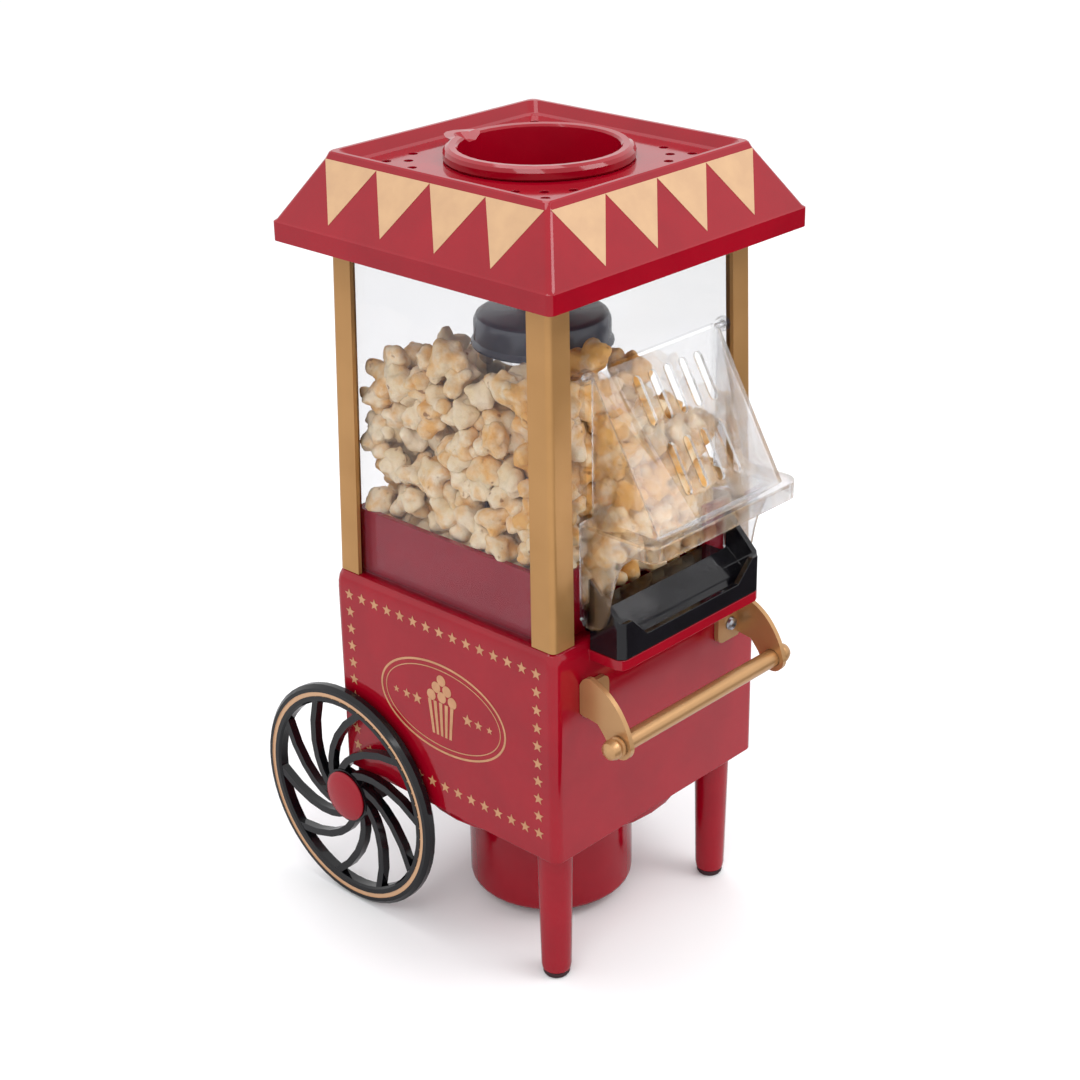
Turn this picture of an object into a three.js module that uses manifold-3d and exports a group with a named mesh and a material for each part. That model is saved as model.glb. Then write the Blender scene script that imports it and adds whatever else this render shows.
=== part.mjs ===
// Hot-air popcorn maker in the shape of an old street cart.
// Millimetres, +Z up. The floor is z = 0 and the serving side faces -Y. Sizes are given from a point on
// the floor under the middle of the housing, and at the end the whole is shifted so that the origin lies
// under the middle of its overall length. "left" is the -X side and "right" the +X side.
import * as THREE from "three";
import { mergeVertices } from "three/addons/utils/BufferGeometryUtils.js";
import Module from "manifold-3d";

const wasm = await Module();
wasm.setup();

// ---------------------------------------------------------------- sizes

// Clearances and stock thicknesses.
const GAP = 0.3; // between pieces that touch
const RUN = 0.5; // between pieces that turn or slide on each other
const WALL = 2.5; // moulded shells
const PANE = 2; // clear panes
const SCREW_SHANK = 1.4;
const ROUND = 36; // facets of a large round piece
const SMALL_ROUND = 14; // facets of a small round piece
const WHEEL_FACETS = 54;

// Base housing: a box open at the bottom, its top forming the deck of the cabinet.
const BASE_HALF_X = 73.9;
const BASE_HALF_Y = 73;
const BASE_BOTTOM = 74.5;
const DECK = 182.7;
const BASE_CORNER = 5;
const BASE_EDGE = 9.7; // height of the rounded top edge
const BASE_INSET = 2.4; // how far that edge draws in
const BASE_SECTIONS = 4; // steps of the rounded edge

// Cabinet of four corner posts and four panes, drawn in towards the top.
const POST_HALF_X = BASE_HALF_X - 2.4;
const POST_HALF_Y = BASE_HALF_Y - 2.2;
const POST_WIDTH = 13.6;
const POST_THICK = 2.2;
const POST_CORNER = 3;
const CABINET_TOP = 347.7;
const CABINET_LEAN = 3.3; // how far the posts draw in over their height
const FRAME_HEIGHT = 4;
const FRAME_WIDTH = 11;

// Serving opening, flap and chute.
const CHUTE_HALF = 50.3;
const OPENING_HALF = CHUTE_HALF - 5.8;
const HINGE_Y = -69;
const HINGE_Z = CABINET_TOP - 40.7;
const FLAP_BACK = -69.2;
const FLAP_HALF = OPENING_HALF - 1;
const FLAP_FOOT_Y = -107;
const FLAP_FOOT_Z = 241;
const FLAP_WALL = 1.6;
const FLAP_PROUD = 2; // how far the middle facet stands out
const FLAP_CREASE_TOP = 34.5;
const FLAP_CREASE_FOOT = 17.3;
const LIP_FRONT = -112.5;
const LIP_TOP = 240.6;
const LIP_THICK = 2;
const LIP_CORNER = 8;
const SKIRT_BOTTOM = 232.6;
const SLOT_WIDTH = 5;
const SLOT_ROWS = [
  { centres: [-21, -10.5, 0, 10.5, 21], from: 7, to: 30.5 },
  { centres: [-17.1, -5.7, 5.7, 17.1], from: 39.7, to: 64.5 },
];
const PEG_RADIUS = 1.5;
const PEG_REACH = OPENING_HALF + 3.8;
const EAR_INNER = OPENING_HALF + 0.7;
const EAR_OUTER = EAR_INNER + 3.5;
const EAR_RADIUS = 3.4;
const CHUTE_FRONT = -92.6;
const CHUTE_WALL = 3;
const CHUTE_CHAMFER = 3;
const SHELF_BOTTOM = 173.5;
const SHELF_THICK = 5;
const CHUTE_RIM_CORNER = 197;
const CHUTE_RIM_DIP = 187;
const CHUTE_DIP_HALF = CHUTE_HALF - 17.3;
const CHUTE_BACK_RIM = 214;
const CHUTE_FLOOR_FRONT = 184;
const CHUTE_CREST = 196;
const CHUTE_TONGUE_BACK = -64.5;

// Popcorn tray inside the cabinet.
const TRAY_OUTER_X = 65.5;
const TRAY_OUTER_Y = 64.6;
const TRAY_WALL = 3;
const TRAY_TOP = 215;
const TRAY_FLOOR = 2.5;
const TRAY_HOLE = 41;

// Popping chamber, chimney and deflector.
const CHAMBER_RADIUS = 34.2;
const CHAMBER_WALL = 1.2;
const CHAMBER_BOTTOM = 114;
const CHAMBER_FLANGE = 39.5;
const CHAMBER_FLANGE_THICK = 1.5;
const CHAMBER_SLOTS = 16;
const CHIMNEY_RADIUS = 30;
const CHIMNEY_WALL = 1.8;
const CHIMNEY_WINDOWS = 4;
const CAP_BOTTOM = CABINET_TOP - 51.7;
const CAP_TOP = CAP_BOTTOM + 15;
const CAP_RADIUS = 32.2;
const CAP_FLARE = 33.6;
const CAP_SHELL = 1.8;

// Drum under the base, and what stands in it.
const DRUM_RADIUS = 41.8;
const DRUM_BOTTOM = 6;
const DRUM_EDGE = 4;
const COLLAR_RADIUS = 68.5;
const COLLAR_BOTTOM = 66;
const PLATE_THICK = 2.5;
const GRILLE_RADIUS = 30;
const GRILLE_FLANGE = 33;
const GRILLE_SLOTS = 8;
const LEDGE_TOP = 49.7;
const LEDGE_RADIUS = 35.5;
const MOUNT_THICK = 3;
const MOTOR_RADIUS = 17.5;
const MOTOR_BOTTOM = 18;
const SHAFT_RADIUS = 1.5;
const SHAFT_BOTTOM = 21;
const SHAFT_TOP = 71;
const FAN_BOTTOM = 56;
const FAN_TOP = 69;
const FAN_RADIUS = 33;
const FAN_BLADES = 9;
const DUCT_RADIUS = 38.2;
const DUCT_WALL = 1;
const DUCT_TOP = 151.2;
const DUCT_FLANGE = 45;
const MICA_BOTTOM = 82;
const MICA_TOP = 108;
const MICA_HALF = 26;
const COIL_RADIUS = 31;
const COIL_TURNS = 5;
const COIL_WIRE = 0.8;

// Roof and measuring cup.
const LIP_HALF_X = POST_HALF_X + 15.1;
const LIP_HALF_Y = POST_HALF_Y + 15.2;
const ROOF_LIP_TOP = CABINET_TOP + 9.9;
const ROOF_SLOPE_TOP = CABINET_TOP + 37.3;
const ROOF_TOP = ROOF_SLOPE_TOP + 3;
const ROOF_TOP_HALF = 68.4;
const ROOF_CORNER = 3;
const WELL_FLOOR = ROOF_SLOPE_TOP - 2.5;
const WELL_HALF = 59;
const WELL_RIM_HALF = 65;
const RIB_HALF = 64;
const VENT_RADIUS = 2.25;
const VENTS = [
  [41.5, 41.5],
  [48.5, 48.5],
  [49, 31.5],
  [31.5, 49],
];
const CUP_RADIUS = 36.8; // inside, at the rim
const CUP_COLLAR = 43.5;
const CUP_TOP = ROOF_TOP + 1;
const CUP_BOTTOM = CABINET_TOP + 5.3;
const CUP_WALL = 1.5;
const SPOUT_REACH = 51;
const SPOUT_TURN = 100; // degrees from +X

// Legs, feet, wheels and axle.
const LEG_X = BASE_HALF_X - 14.7;
const LEG_Y = -58;
const LEG_TOP_RADIUS = 8.7;
const LEG_FOOT_RADIUS = 7.3;
const FOOT_HEIGHT = 3.2;
const FOOT_TOP_RADIUS = 6.6;
const FOOT_RADIUS = 5.5;
const SPIGOT_RADIUS = 3;
const SPIGOT_LENGTH = 9;
const WHEEL_RADIUS = 60;
const WHEEL_INNER = BASE_HALF_X + 1.5; // |x| of the face next to the housing
const WHEEL_THICK = 6.2;
const RIM_INNER = 50.5;
const STRIPE_INNER = 53.9;
const STRIPE_OUTER = 56.1;
const STRIPE_DEPTH = 0.4;
const HUB_RADIUS = 14.5;
const BOSS_RADIUS = 7;
const SPOKES = 10;
const SPOKE_WIDTH = 3.8;
const SPOKE_THICK = 4.2;
const SPOKE_SWEEP = 0.84; // tangent of the angle between a spoke and the radius
const SPOKE_PHASE = 30; // degrees, where the first spoke meets the rim
const HUB_CAP_RADIUS = 13.3;
const HUB_CAP_HEIGHT = 3;
const AXLE_RADIUS = 2.5;
const AXLE_Y = 65.6;
const AXLE_REACH = WHEEL_INNER + WHEEL_THICK + 1.4;
const LUG_INNER = BASE_HALF_X - 15.9;
const LUG_OUTER = LUG_INNER + 10;
const LUG_HALF = 7;

// Push handle on the front.
const BRACKET_OUTER = 57.5;
const BRACKET_THICK = 2.5;
const BRACKET_FOOT_INNER = 40;
const BRACKET_FOOT_BOTTOM = 146.5;
const BRACKET_FOOT_TOP = 163.5;
const HANDLE_SCREW_X = 49.5;
const HANDLE_SCREW_Z = 155;
const BAR_Y = -97;
const BAR_Z = 141;
const BAR_RADIUS = 4.4;
const BALL_RADIUS = 5;
const BALL_X = 62;
const EYE_RADIUS = 7;

// Base screws, switch, cord gland and rectifier board.
const BASE_SCREWS = [
  [-64, -38],
  [64, -38],
  [-64, 38],
  [64, 38],
];
const BOSS_SCREW_RADIUS = 4.2;
const SCREW_HEAD = 3.2;
const SWITCH_X = 34;
const SWITCH_Z = 126;
const SWITCH_WIDTH = 17;
const SWITCH_HEIGHT = 18;
const SWITCH_FLANGE = 3;
const SWITCH_DEPTH = 15;
const ROCKER_RADIUS = 6.2;
const ROCKER_TILT = 8;
const GLAND_X = -34;
const GLAND_Z = 104;
const GLAND_RADIUS = 5.5;
const GLAND_BORE = 3.4;
const GLAND_FLANGE = 8;
const BOARD_HALF = 18;
const BOARD_BOTTOM = 112;
const BOARD_TOP = 142;
const BOARD_Y = 56;

// Derived sizes that several pieces share.
const CABINET_BOTTOM = DECK + GAP;
const PLATE_BOTTOM = BASE_BOTTOM + 0.5;
const PLATE_TOP = PLATE_BOTTOM + PLATE_THICK;
const BASE_FACE = -BASE_HALF_Y;
const SHELF_TOP = SHELF_BOTTOM + SHELF_THICK;
const CHUTE_BOTTOM = SHELF_TOP + GAP;
const WHEEL_OUTER = WHEEL_INNER + WHEEL_THICK;
const CHAMBER_TOP = DECK + GAP + CHAMBER_FLANGE_THICK;
const FRAME_TOP = CABINET_TOP + FRAME_HEIGHT;
const PANE_OUTER_X = POST_HALF_X - POST_THICK - GAP;
const PANE_OUTER_Y = POST_HALF_Y - POST_THICK - GAP;
const DRUM_INNER = DRUM_RADIUS - WALL;
const MOUNT_BOTTOM = LEDGE_TOP + GAP;
const MOUNT_TOP = MOUNT_BOTTOM + MOUNT_THICK;
const CHEEK_INNER = CHUTE_HALF + 0.4;
const CHEEK_OUTER = CHEEK_INNER + FLAP_WALL;

// ---------------------------------------------------------------- finishes

const finish = (color, roughness, metalness = 0) =>
  new THREE.MeshStandardMaterial({ color, roughness, metalness });
const RED = finish(0xa50a28, 0.18);
const GOLD = finish(0xc8a06b, 0.35, 0.6);
const BLACK = finish(0x161418, 0.2);
const DARK_GREY = finish(0x5f626c, 0.4);
const CLEAR = finish(0xeeeef3, 0.05);
CLEAR.transparent = true;
CLEAR.opacity = 0.3;
const RUBBER = finish(0x1b1b1d, 0.85);
const STEEL = finish(0xb9bcc0, 0.3, 1);
const ALUMINIUM = finish(0xc9cbce, 0.35, 1);
const MICA = finish(0xb8ad94, 0.6);
const BOARD_GREEN = finish(0x2c5a3a, 0.5);

// ---------------------------------------------------------------- shape helpers

const radians = THREE.MathUtils.degToRad;
const X_AXIS = new THREE.Vector3(1, 0, 0);
const Y_AXIS = new THREE.Vector3(0, 1, 0);
const Z_AXIS = new THREE.Vector3(0, 0, 1);
const ALONG_X = new THREE.Matrix4().makeBasis(Y_AXIS, Z_AXIS, X_AXIS);
const ALONG_Y = new THREE.Matrix4().makeBasis(X_AXIS, Z_AXIS, Y_AXIS.clone().negate());

// The geometry as a manifold-3d solid, turned to face outwards.
function solidOf(geometry) {
  const bare = geometry.index ? geometry.toNonIndexed() : geometry.clone();
  bare.deleteAttribute("normal");
  bare.deleteAttribute("uv");
  const merged = mergeVertices(bare, 1e-4);
  const kept = [];
  const index = merged.index.array;
  for (let i = 0; i < index.length; i += 3) {
    const [a, b, c] = [index[i], index[i + 1], index[i + 2]];
    if (a !== b && b !== c && c !== a) kept.push(a, b, c);
  }
  const build = (triVerts) =>
    new wasm.Manifold(
      new wasm.Mesh({
        numProp: 3,
        vertProperties: merged.attributes.position.array,
        triVerts: new Uint32Array(triVerts),
      }),
    );
  const solid = build(kept);
  return solid.volume() < 0 ? build(kept.reverse()) : solid;
}

// A manifold-3d solid as a three.js geometry.
function geometryOf(solid) {
  const { numProp, vertProperties, triVerts } = solid.getMesh();
  const positions = new Float32Array((vertProperties.length / numProp) * 3);
  for (let i = 0; i < positions.length / 3; i++)
    for (let k = 0; k < 3; k++) positions[3 * i + k] = vertProperties[i * numProp + k];
  const geometry = new THREE.BufferGeometry();
  geometry.setAttribute("position", new THREE.BufferAttribute(positions, 3));
  geometry.setIndex(Array.from(triVerts));
  return geometry;
}

// All the parts joined into one body.
function fuse(...parts) {
  return geometryOf(parts.map(solidOf).reduce((all, part) => all.add(part)));
}

// The body with every tool cut away from it.
function cut(body, ...tools) {
  return geometryOf(tools.map(solidOf).reduce((left, tool) => left.subtract(tool), solidOf(body)));
}

// Points of a rounded rectangle about the origin, counter-clockwise.
function roundedRing(halfX, halfY, radius, steps = 4) {
  const points = [];
  const quarters = [
    [1, 1],
    [-1, 1],
    [-1, -1],
    [1, -1],
  ];
  quarters.forEach(([sx, sy], quarter) => {
    for (let i = 0; i <= steps; i++) {
      const angle = ((quarter + i / steps) * Math.PI) / 2;
      const x = sx * (halfX - radius) + radius * Math.cos(angle);
      const y = sy * (halfY - radius) + radius * Math.sin(angle);
      points.push(new THREE.Vector2(x, y));
    }
  });
  return points;
}

// A closed body through level sections { ring, z } that have the same number of points.
function loft(sections) {
  const count = sections[0].ring.length;
  const positions = sections.flatMap(({ ring, z }) => ring.flatMap((p) => [p.x, p.y, z]));
  const index = [];
  for (let s = 0; s + 1 < sections.length; s++)
    for (let i = 0; i < count; i++) {
      const a = s * count + i;
      const b = s * count + ((i + 1) % count);
      index.push(a, b, b + count, a, b + count, a + count);
    }
  const last = (sections.length - 1) * count;
  for (const [a, b, c] of THREE.ShapeUtils.triangulateShape(sections[0].ring, [])) index.push(c, b, a);
  for (const [a, b, c] of THREE.ShapeUtils.triangulateShape(sections.at(-1).ring, []))
    index.push(last + a, last + b, last + c);
  const geometry = new THREE.BufferGeometry();
  geometry.setAttribute("position", new THREE.Float32BufferAttribute(positions, 3));
  geometry.setIndex(index);
  return geometry;
}

// A stack of rounded rectangles, each [z, halfX, halfY, radius].
function stack(...levels) {
  return loft(levels.map(([z, x, y, r]) => ({ z, ring: roundedRing(x, y, r) })));
}

// A box from one corner to the other.
function box(x0, x1, y0, y1, z0, z1) {
  const geometry = new THREE.BoxGeometry(x1 - x0, y1 - y0, z1 - z0);
  return geometry.translate((x0 + x1) / 2, (y0 + y1) / 2, (z0 + z1) / 2);
}

// A shape from [u, v] corners.
function outline(corners) {
  return new THREE.Shape(corners.map(([u, v]) => new THREE.Vector2(u, v)));
}

// A flat shape in x and y, raised from z0 to z1.
function raised(shape, z0, z1, curveSegments = 6) {
  const options = { depth: z1 - z0, bevelEnabled: false, curveSegments };
  return new THREE.ExtrudeGeometry(shape, options).translate(0, 0, z0);
}

// A flat shape in y and z, drawn along X from x0 to x1.
function drawnX(shape, x0, x1, curveSegments = 6) {
  return raised(shape, x0, x1, curveSegments).applyMatrix4(ALONG_X);
}

// A flat shape in x and z, drawn along Y from y0 to y1.
function drawnY(shape, y0, y1, curveSegments = 6) {
  return raised(shape, -y1, -y0, curveSegments).applyMatrix4(ALONG_Y);
}

// A profile of [radius, height] points turned about Z.
function turned(profile, facets = ROUND) {
  const points = profile.map(([r, z]) => new THREE.Vector2(r, z));
  return new THREE.LatheGeometry(points, facets).rotateX(Math.PI / 2);
}

// A profile that closes on itself, turned about Z.
function turnedRing(profile, facets = ROUND) {
  return turned([...profile, profile[0]], facets);
}

// A rod about Z.
function rod(radius, z0, z1, facets = SMALL_ROUND) {
  return turned([[0, z0], [radius, z0], [radius, z1], [0, z1]], facets);
}

// A geometry that was turned about Z, laid along +X (height becomes x).
function laidX(geometry) {
  return geometry.rotateY(Math.PI / 2);
}

// A geometry that was turned about Z, laid along +Y (height becomes y).
function laidY(geometry) {
  return geometry.rotateX(-Math.PI / 2);
}

// Copies of a geometry turned round Z at even steps.
function around(count, make, phase = 0) {
  return Array.from({ length: count }, (_, i) => make().rotateZ(phase + (2 * Math.PI * i) / count));
}

// The cabinet's draw-in: everything above the deck is scaled towards the axis as it rises.
function leaned(geometry) {
  const position = geometry.attributes.position;
  for (let i = 0; i < position.count; i++) {
    const rise = (position.getZ(i) - DECK) / (CABINET_TOP - DECK);
    const scale = 1 - (CABINET_LEAN / POST_HALF_X) * rise;
    position.setXY(i, position.getX(i) * scale, position.getY(i) * scale);
  }
  return geometry;
}

// A named mesh of one finish.
function piece(name, geometry, material) {
  const solid = geometryOf(solidOf(geometry));
  const flat = solid.toNonIndexed();
  flat.computeVertexNormals();
  const mesh = new THREE.Mesh(flat, material);
  mesh.name = name;
  return mesh;
}

// A named group of pieces.
function assembly(name, ...pieces) {
  const group = new THREE.Group();
  group.name = name;
  group.add(...pieces);
  return group;
}

const SIDES = [
  ["left", -1],
  ["right", 1],
];

// ---------------------------------------------------------------- base

// Levels of the base box, drawn in by `inset` all round.
function baseLevels(inset, bottom, top) {
  const half = (draw) => [BASE_HALF_X - inset - draw, BASE_HALF_Y - inset - draw];
  const levels = [[bottom, ...half(0), BASE_CORNER]];
  for (let i = 0; i <= BASE_SECTIONS; i++) {
    const angle = ((i / BASE_SECTIONS) * Math.PI) / 2;
    const z = top - BASE_EDGE + BASE_EDGE * Math.sin(angle);
    levels.push([z, ...half(BASE_INSET * (1 - Math.cos(angle))), BASE_CORNER]);
  }
  return levels;
}

function shelfOutline() {
  const corner = 4;
  return outline([
    [-CHUTE_HALF, BASE_FACE + WALL / 2],
    [-CHUTE_HALF, CHUTE_FRONT + corner],
    [-CHUTE_HALF + corner * 0.3, CHUTE_FRONT + corner * 0.3],
    [-CHUTE_HALF + corner, CHUTE_FRONT],
    [CHUTE_HALF - corner, CHUTE_FRONT],
    [CHUTE_HALF - corner * 0.3, CHUTE_FRONT + corner * 0.3],
    [CHUTE_HALF, CHUTE_FRONT + corner],
    [CHUTE_HALF, BASE_FACE + WALL / 2],
  ]);
}

function switchOpening(extra) {
  const halfWidth = SWITCH_WIDTH / 2 + extra;
  const halfHeight = SWITCH_HEIGHT / 2 + extra;
  return [SWITCH_X - halfWidth, SWITCH_X + halfWidth, SWITCH_Z - halfHeight, SWITCH_Z + halfHeight];
}

function throughRear(x0, x1, z0, z1, y0, y1) {
  return box(x0, x1, y0, y1, z0, z1);
}

function baseHousing() {
  const shell = cut(
    stack(...baseLevels(0, BASE_BOTTOM, DECK)),
    stack(...baseLevels(WALL, BASE_BOTTOM - 1, DECK - WALL)),
  );
  const bosses = BASE_SCREWS.map(([x, y]) =>
    rod(BOSS_SCREW_RADIUS, PLATE_TOP + GAP, DECK - 1, SMALL_ROUND).translate(x, y, 0),
  );
  const pilots = BASE_SCREWS.map(([x, y]) =>
    rod(SCREW_SHANK + GAP, PLATE_TOP, PLATE_TOP + 14, 10).translate(x, y, 0),
  );
  const ribs = [-1, 1].map((side) => {
    const x = side * (BOARD_HALF + GAP + 1);
    return box(x - 1, x + 1, BOARD_Y - 2, BASE_HALF_Y - 1, BOARD_BOTTOM, BOARD_TOP);
  });
  const [x0, x1, z0, z1] = switchOpening(GAP);
  return cut(
    fuse(shell, ...bosses, ...ribs, raised(shelfOutline(), SHELF_BOTTOM, SHELF_TOP)),
    ...pilots,
    rod(CHAMBER_RADIUS + GAP, DECK - 20, DECK + 20, ROUND),
    throughRear(x0, x1, z0, z1, BASE_HALF_Y - 2 * WALL, BASE_HALF_Y + 1),
    laidY(rod(GLAND_RADIUS + GAP, 60, 80)).translate(GLAND_X, 0, GLAND_Z),
    ...SIDES.map(([, side]) =>
      laidY(rod(SCREW_SHANK + GAP, -80, -60, 10)).translate(side * HANDLE_SCREW_X, 0, HANDLE_SCREW_Z),
    ),
  );
}

function basePlate() {
  const inset = WALL + GAP;
  const halfX = BASE_HALF_X - inset;
  const halfY = BASE_HALF_Y - inset;
  const plate = stack([PLATE_BOTTOM, halfX, halfY, BASE_CORNER], [PLATE_TOP, halfX, halfY, BASE_CORNER]);
  const lugs = SIDES.map(([, side]) => {
    const [from, to] = side < 0 ? [-LUG_OUTER, -LUG_INNER] : [LUG_INNER, LUG_OUTER];
    const bottom = WHEEL_RADIUS - LUG_HALF;
    return box(from, to, AXLE_Y - LUG_HALF, halfY - GAP, bottom, PLATE_TOP - 0.5);
  });
  const holes = BASE_SCREWS.map(([x, y]) =>
    rod(SCREW_SHANK + GAP, PLATE_BOTTOM - 1, PLATE_TOP + 1, 10).translate(x, y, 0),
  );
  return cut(
    fuse(plate, ...lugs),
    rod(DUCT_RADIUS - DUCT_WALL, PLATE_BOTTOM - 1, PLATE_TOP + 1, ROUND),
    laidX(rod(AXLE_RADIUS + GAP, -LUG_OUTER - 1, LUG_OUTER + 1)).translate(0, AXLE_Y, WHEEL_RADIUS),
    ...holes,
  );
}

function baseScrew() {
  const headTop = PLATE_BOTTOM - GAP;
  const profile = [
    [0, headTop - 2.2],
    [SCREW_HEAD - 0.8, headTop - 2.2],
    [SCREW_HEAD, headTop - 1.2],
    [SCREW_HEAD, headTop],
    [SCREW_SHANK, headTop],
    [SCREW_SHANK, headTop + 13],
    [0, headTop + 14],
  ];
  return turned(profile, 12);
}

function baseAssembly() {
  const screws = BASE_SCREWS.map(([x, y], i) =>
    piece(`base_screw_${i + 1}`, baseScrew().translate(x, y, 0), STEEL),
  );
  return assembly(
    "base",
    piece("base_housing", baseHousing(), RED),
    piece("base_plate", basePlate(), BLACK),
    ...screws,
  );
}

// ---------------------------------------------------------------- drum and blower

function drumHousing() {
  const arc = (r, cr, cz, from, to, steps) =>
    Array.from({ length: steps + 1 }, (_, i) => {
      const angle = radians(from + ((to - from) * i) / steps);
      return [cr + r * Math.cos(angle), cz + r * Math.sin(angle)];
    });
  const floor = DRUM_BOTTOM + WALL;
  return turnedRing([
    [GRILLE_RADIUS + GAP, DRUM_BOTTOM],
    ...arc(DRUM_EDGE, DRUM_RADIUS - DRUM_EDGE, DRUM_BOTTOM + DRUM_EDGE, -90, 0, 3),
    [DRUM_RADIUS, COLLAR_BOTTOM],
    ...arc(2.5, COLLAR_RADIUS - 2.5, COLLAR_BOTTOM + 2.5, -90, 0, 3),
    [COLLAR_RADIUS, PLATE_BOTTOM - GAP],
    [COLLAR_RADIUS - WALL, PLATE_BOTTOM - GAP],
    [COLLAR_RADIUS - WALL, COLLAR_BOTTOM + WALL],
    [DRUM_INNER, COLLAR_BOTTOM + WALL],
    [DRUM_INNER, LEDGE_TOP],
    [LEDGE_RADIUS, LEDGE_TOP],
    [LEDGE_RADIUS, LEDGE_TOP - 2],
    [DRUM_INNER, LEDGE_TOP - 5],
    [DRUM_INNER, floor],
    [GRILLE_RADIUS + GAP, floor],
  ]);
}

function intakeGrille() {
  const bottom = DRUM_BOTTOM + GAP;
  const flange = DRUM_BOTTOM + WALL + GAP;
  const disc = turned([
    [0, bottom],
    [GRILLE_RADIUS, bottom],
    [GRILLE_RADIUS, flange],
    [GRILLE_FLANGE, flange],
    [GRILLE_FLANGE, flange + 1.2],
    [0, flange + 1.2],
  ]);
  const slots = around(GRILLE_SLOTS, () => box(10, GRILLE_RADIUS - 4, -2.2, 2.2, 0, 20));
  return cut(disc, ...slots);
}

function motorMount() {
  const disc = turnedRing([
    [SHAFT_RADIUS + RUN, MOUNT_BOTTOM],
    [DRUM_INNER - GAP, MOUNT_BOTTOM],
    [DRUM_INNER - GAP, MOUNT_TOP],
    [SHAFT_RADIUS + RUN, MOUNT_TOP],
  ]);
  const windows = around(4, () => box(16, LEDGE_RADIUS - 2, -8, 8, MOUNT_BOTTOM - 1, MOUNT_TOP + 1));
  return cut(disc, ...windows);
}

function motor() {
  const top = MOUNT_BOTTOM - GAP;
  const bore = SHAFT_RADIUS + RUN;
  return turned(
    [
      [0, MOTOR_BOTTOM],
      [MOTOR_RADIUS - 5, MOTOR_BOTTOM],
      [MOTOR_RADIUS, MOTOR_BOTTOM + 3],
      [MOTOR_RADIUS, top - 5],
      [MOTOR_RADIUS - 4, top],
      [bore, top],
      [bore, SHAFT_BOTTOM - GAP],
      [0, SHAFT_BOTTOM - GAP],
    ],
    24,
  );
}

function fanImpeller() {
  const bore = SHAFT_RADIUS + GAP;
  const hub = 6;
  const disc = turnedRing([
    [bore, FAN_BOTTOM],
    [FAN_RADIUS, FAN_BOTTOM],
    [FAN_RADIUS, FAN_BOTTOM + 1.5],
    [hub, FAN_BOTTOM + 1.5],
    [hub, FAN_TOP],
    [bore, FAN_TOP],
  ]);
  const blade = () => {
    const shape = box(0, 20, -0.6, 0.6, FAN_BOTTOM + 0.5, FAN_TOP);
    return shape.rotateZ(radians(-35)).translate(14, 6, 0);
  };
  return fuse(disc, ...around(FAN_BLADES, blade));
}

function heaterDuct() {
  const inner = DUCT_RADIUS - DUCT_WALL;
  const bottom = PLATE_TOP + GAP;
  return turnedRing([
    [inner, bottom],
    [DUCT_FLANGE, bottom],
    [DUCT_FLANGE, bottom + DUCT_WALL],
    [DUCT_RADIUS, bottom + DUCT_WALL],
    [DUCT_RADIUS, DUCT_TOP],
    [CHAMBER_RADIUS + GAP, DUCT_TOP],
    [CHAMBER_RADIUS + GAP, DUCT_TOP - DUCT_WALL],
    [inner, DUCT_TOP - DUCT_WALL],
  ]);
}

// Two crossed mica boards, with a foot on each arm that rests against the duct wall.
function heaterPlate() {
  const reach = DUCT_RADIUS - DUCT_WALL - GAP - 0.5;
  const across = box(-MICA_HALF, MICA_HALF, -0.5, 0.5, MICA_BOTTOM, MICA_TOP);
  const along = box(-0.5, 0.5, -MICA_HALF, MICA_HALF, MICA_BOTTOM, MICA_TOP);
  const feet = box(-reach, reach, -0.5, 0.5, MICA_BOTTOM - 3, MICA_BOTTOM + 1);
  const feetAlong = box(-0.5, 0.5, -reach, reach, MICA_BOTTOM - 3, MICA_BOTTOM + 1);
  return fuse(across, along, feet, feetAlong);
}

function heaterCoil() {
  const low = MICA_BOTTOM + 4;
  const high = MICA_TOP - 3;
  class Helix extends THREE.Curve {
    getPoint(t, target = new THREE.Vector3()) {
      const angle = t * COIL_TURNS * 2 * Math.PI;
      return target.set(COIL_RADIUS * Math.cos(angle), COIL_RADIUS * Math.sin(angle), low + (high - low) * t);
    }
  }
  const wire = outline([
    [COIL_WIRE, 0],
    [0, COIL_WIRE],
    [-COIL_WIRE, 0],
    [0, -COIL_WIRE],
  ]);
  return new THREE.ExtrudeGeometry(wire, { steps: COIL_TURNS * 14, extrudePath: new Helix() });
}

function thermostat() {
  const body = laidX(rod(6, DUCT_RADIUS + GAP, DUCT_RADIUS + 6));
  const pins = [-3, 3].map((y) => box(DUCT_RADIUS + 5, DUCT_RADIUS + 11, y - 1, y + 1, -0.4, 0.4));
  return fuse(body, ...pins).translate(0, 0, 132);
}

function blowerAssembly() {
  const shaft = rod(SHAFT_RADIUS, SHAFT_BOTTOM, SHAFT_TOP, 12);
  return assembly(
    "blower",
    piece("drum_housing", drumHousing(), RED),
    piece("intake_grille", intakeGrille(), BLACK),
    piece("motor_mount", motorMount(), STEEL),
    piece("motor", motor(), STEEL),
    piece("motor_shaft", shaft, STEEL),
    piece("fan_impeller", fanImpeller(), BLACK),
    piece("heater_duct", heaterDuct(), STEEL),
    piece("heater_plate", heaterPlate(), MICA),
    piece("heater_coil", heaterCoil(), STEEL),
    piece("thermostat", thermostat(), DARK_GREY),
  );
}

// ---------------------------------------------------------------- popping chamber, chimney, tray

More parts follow.
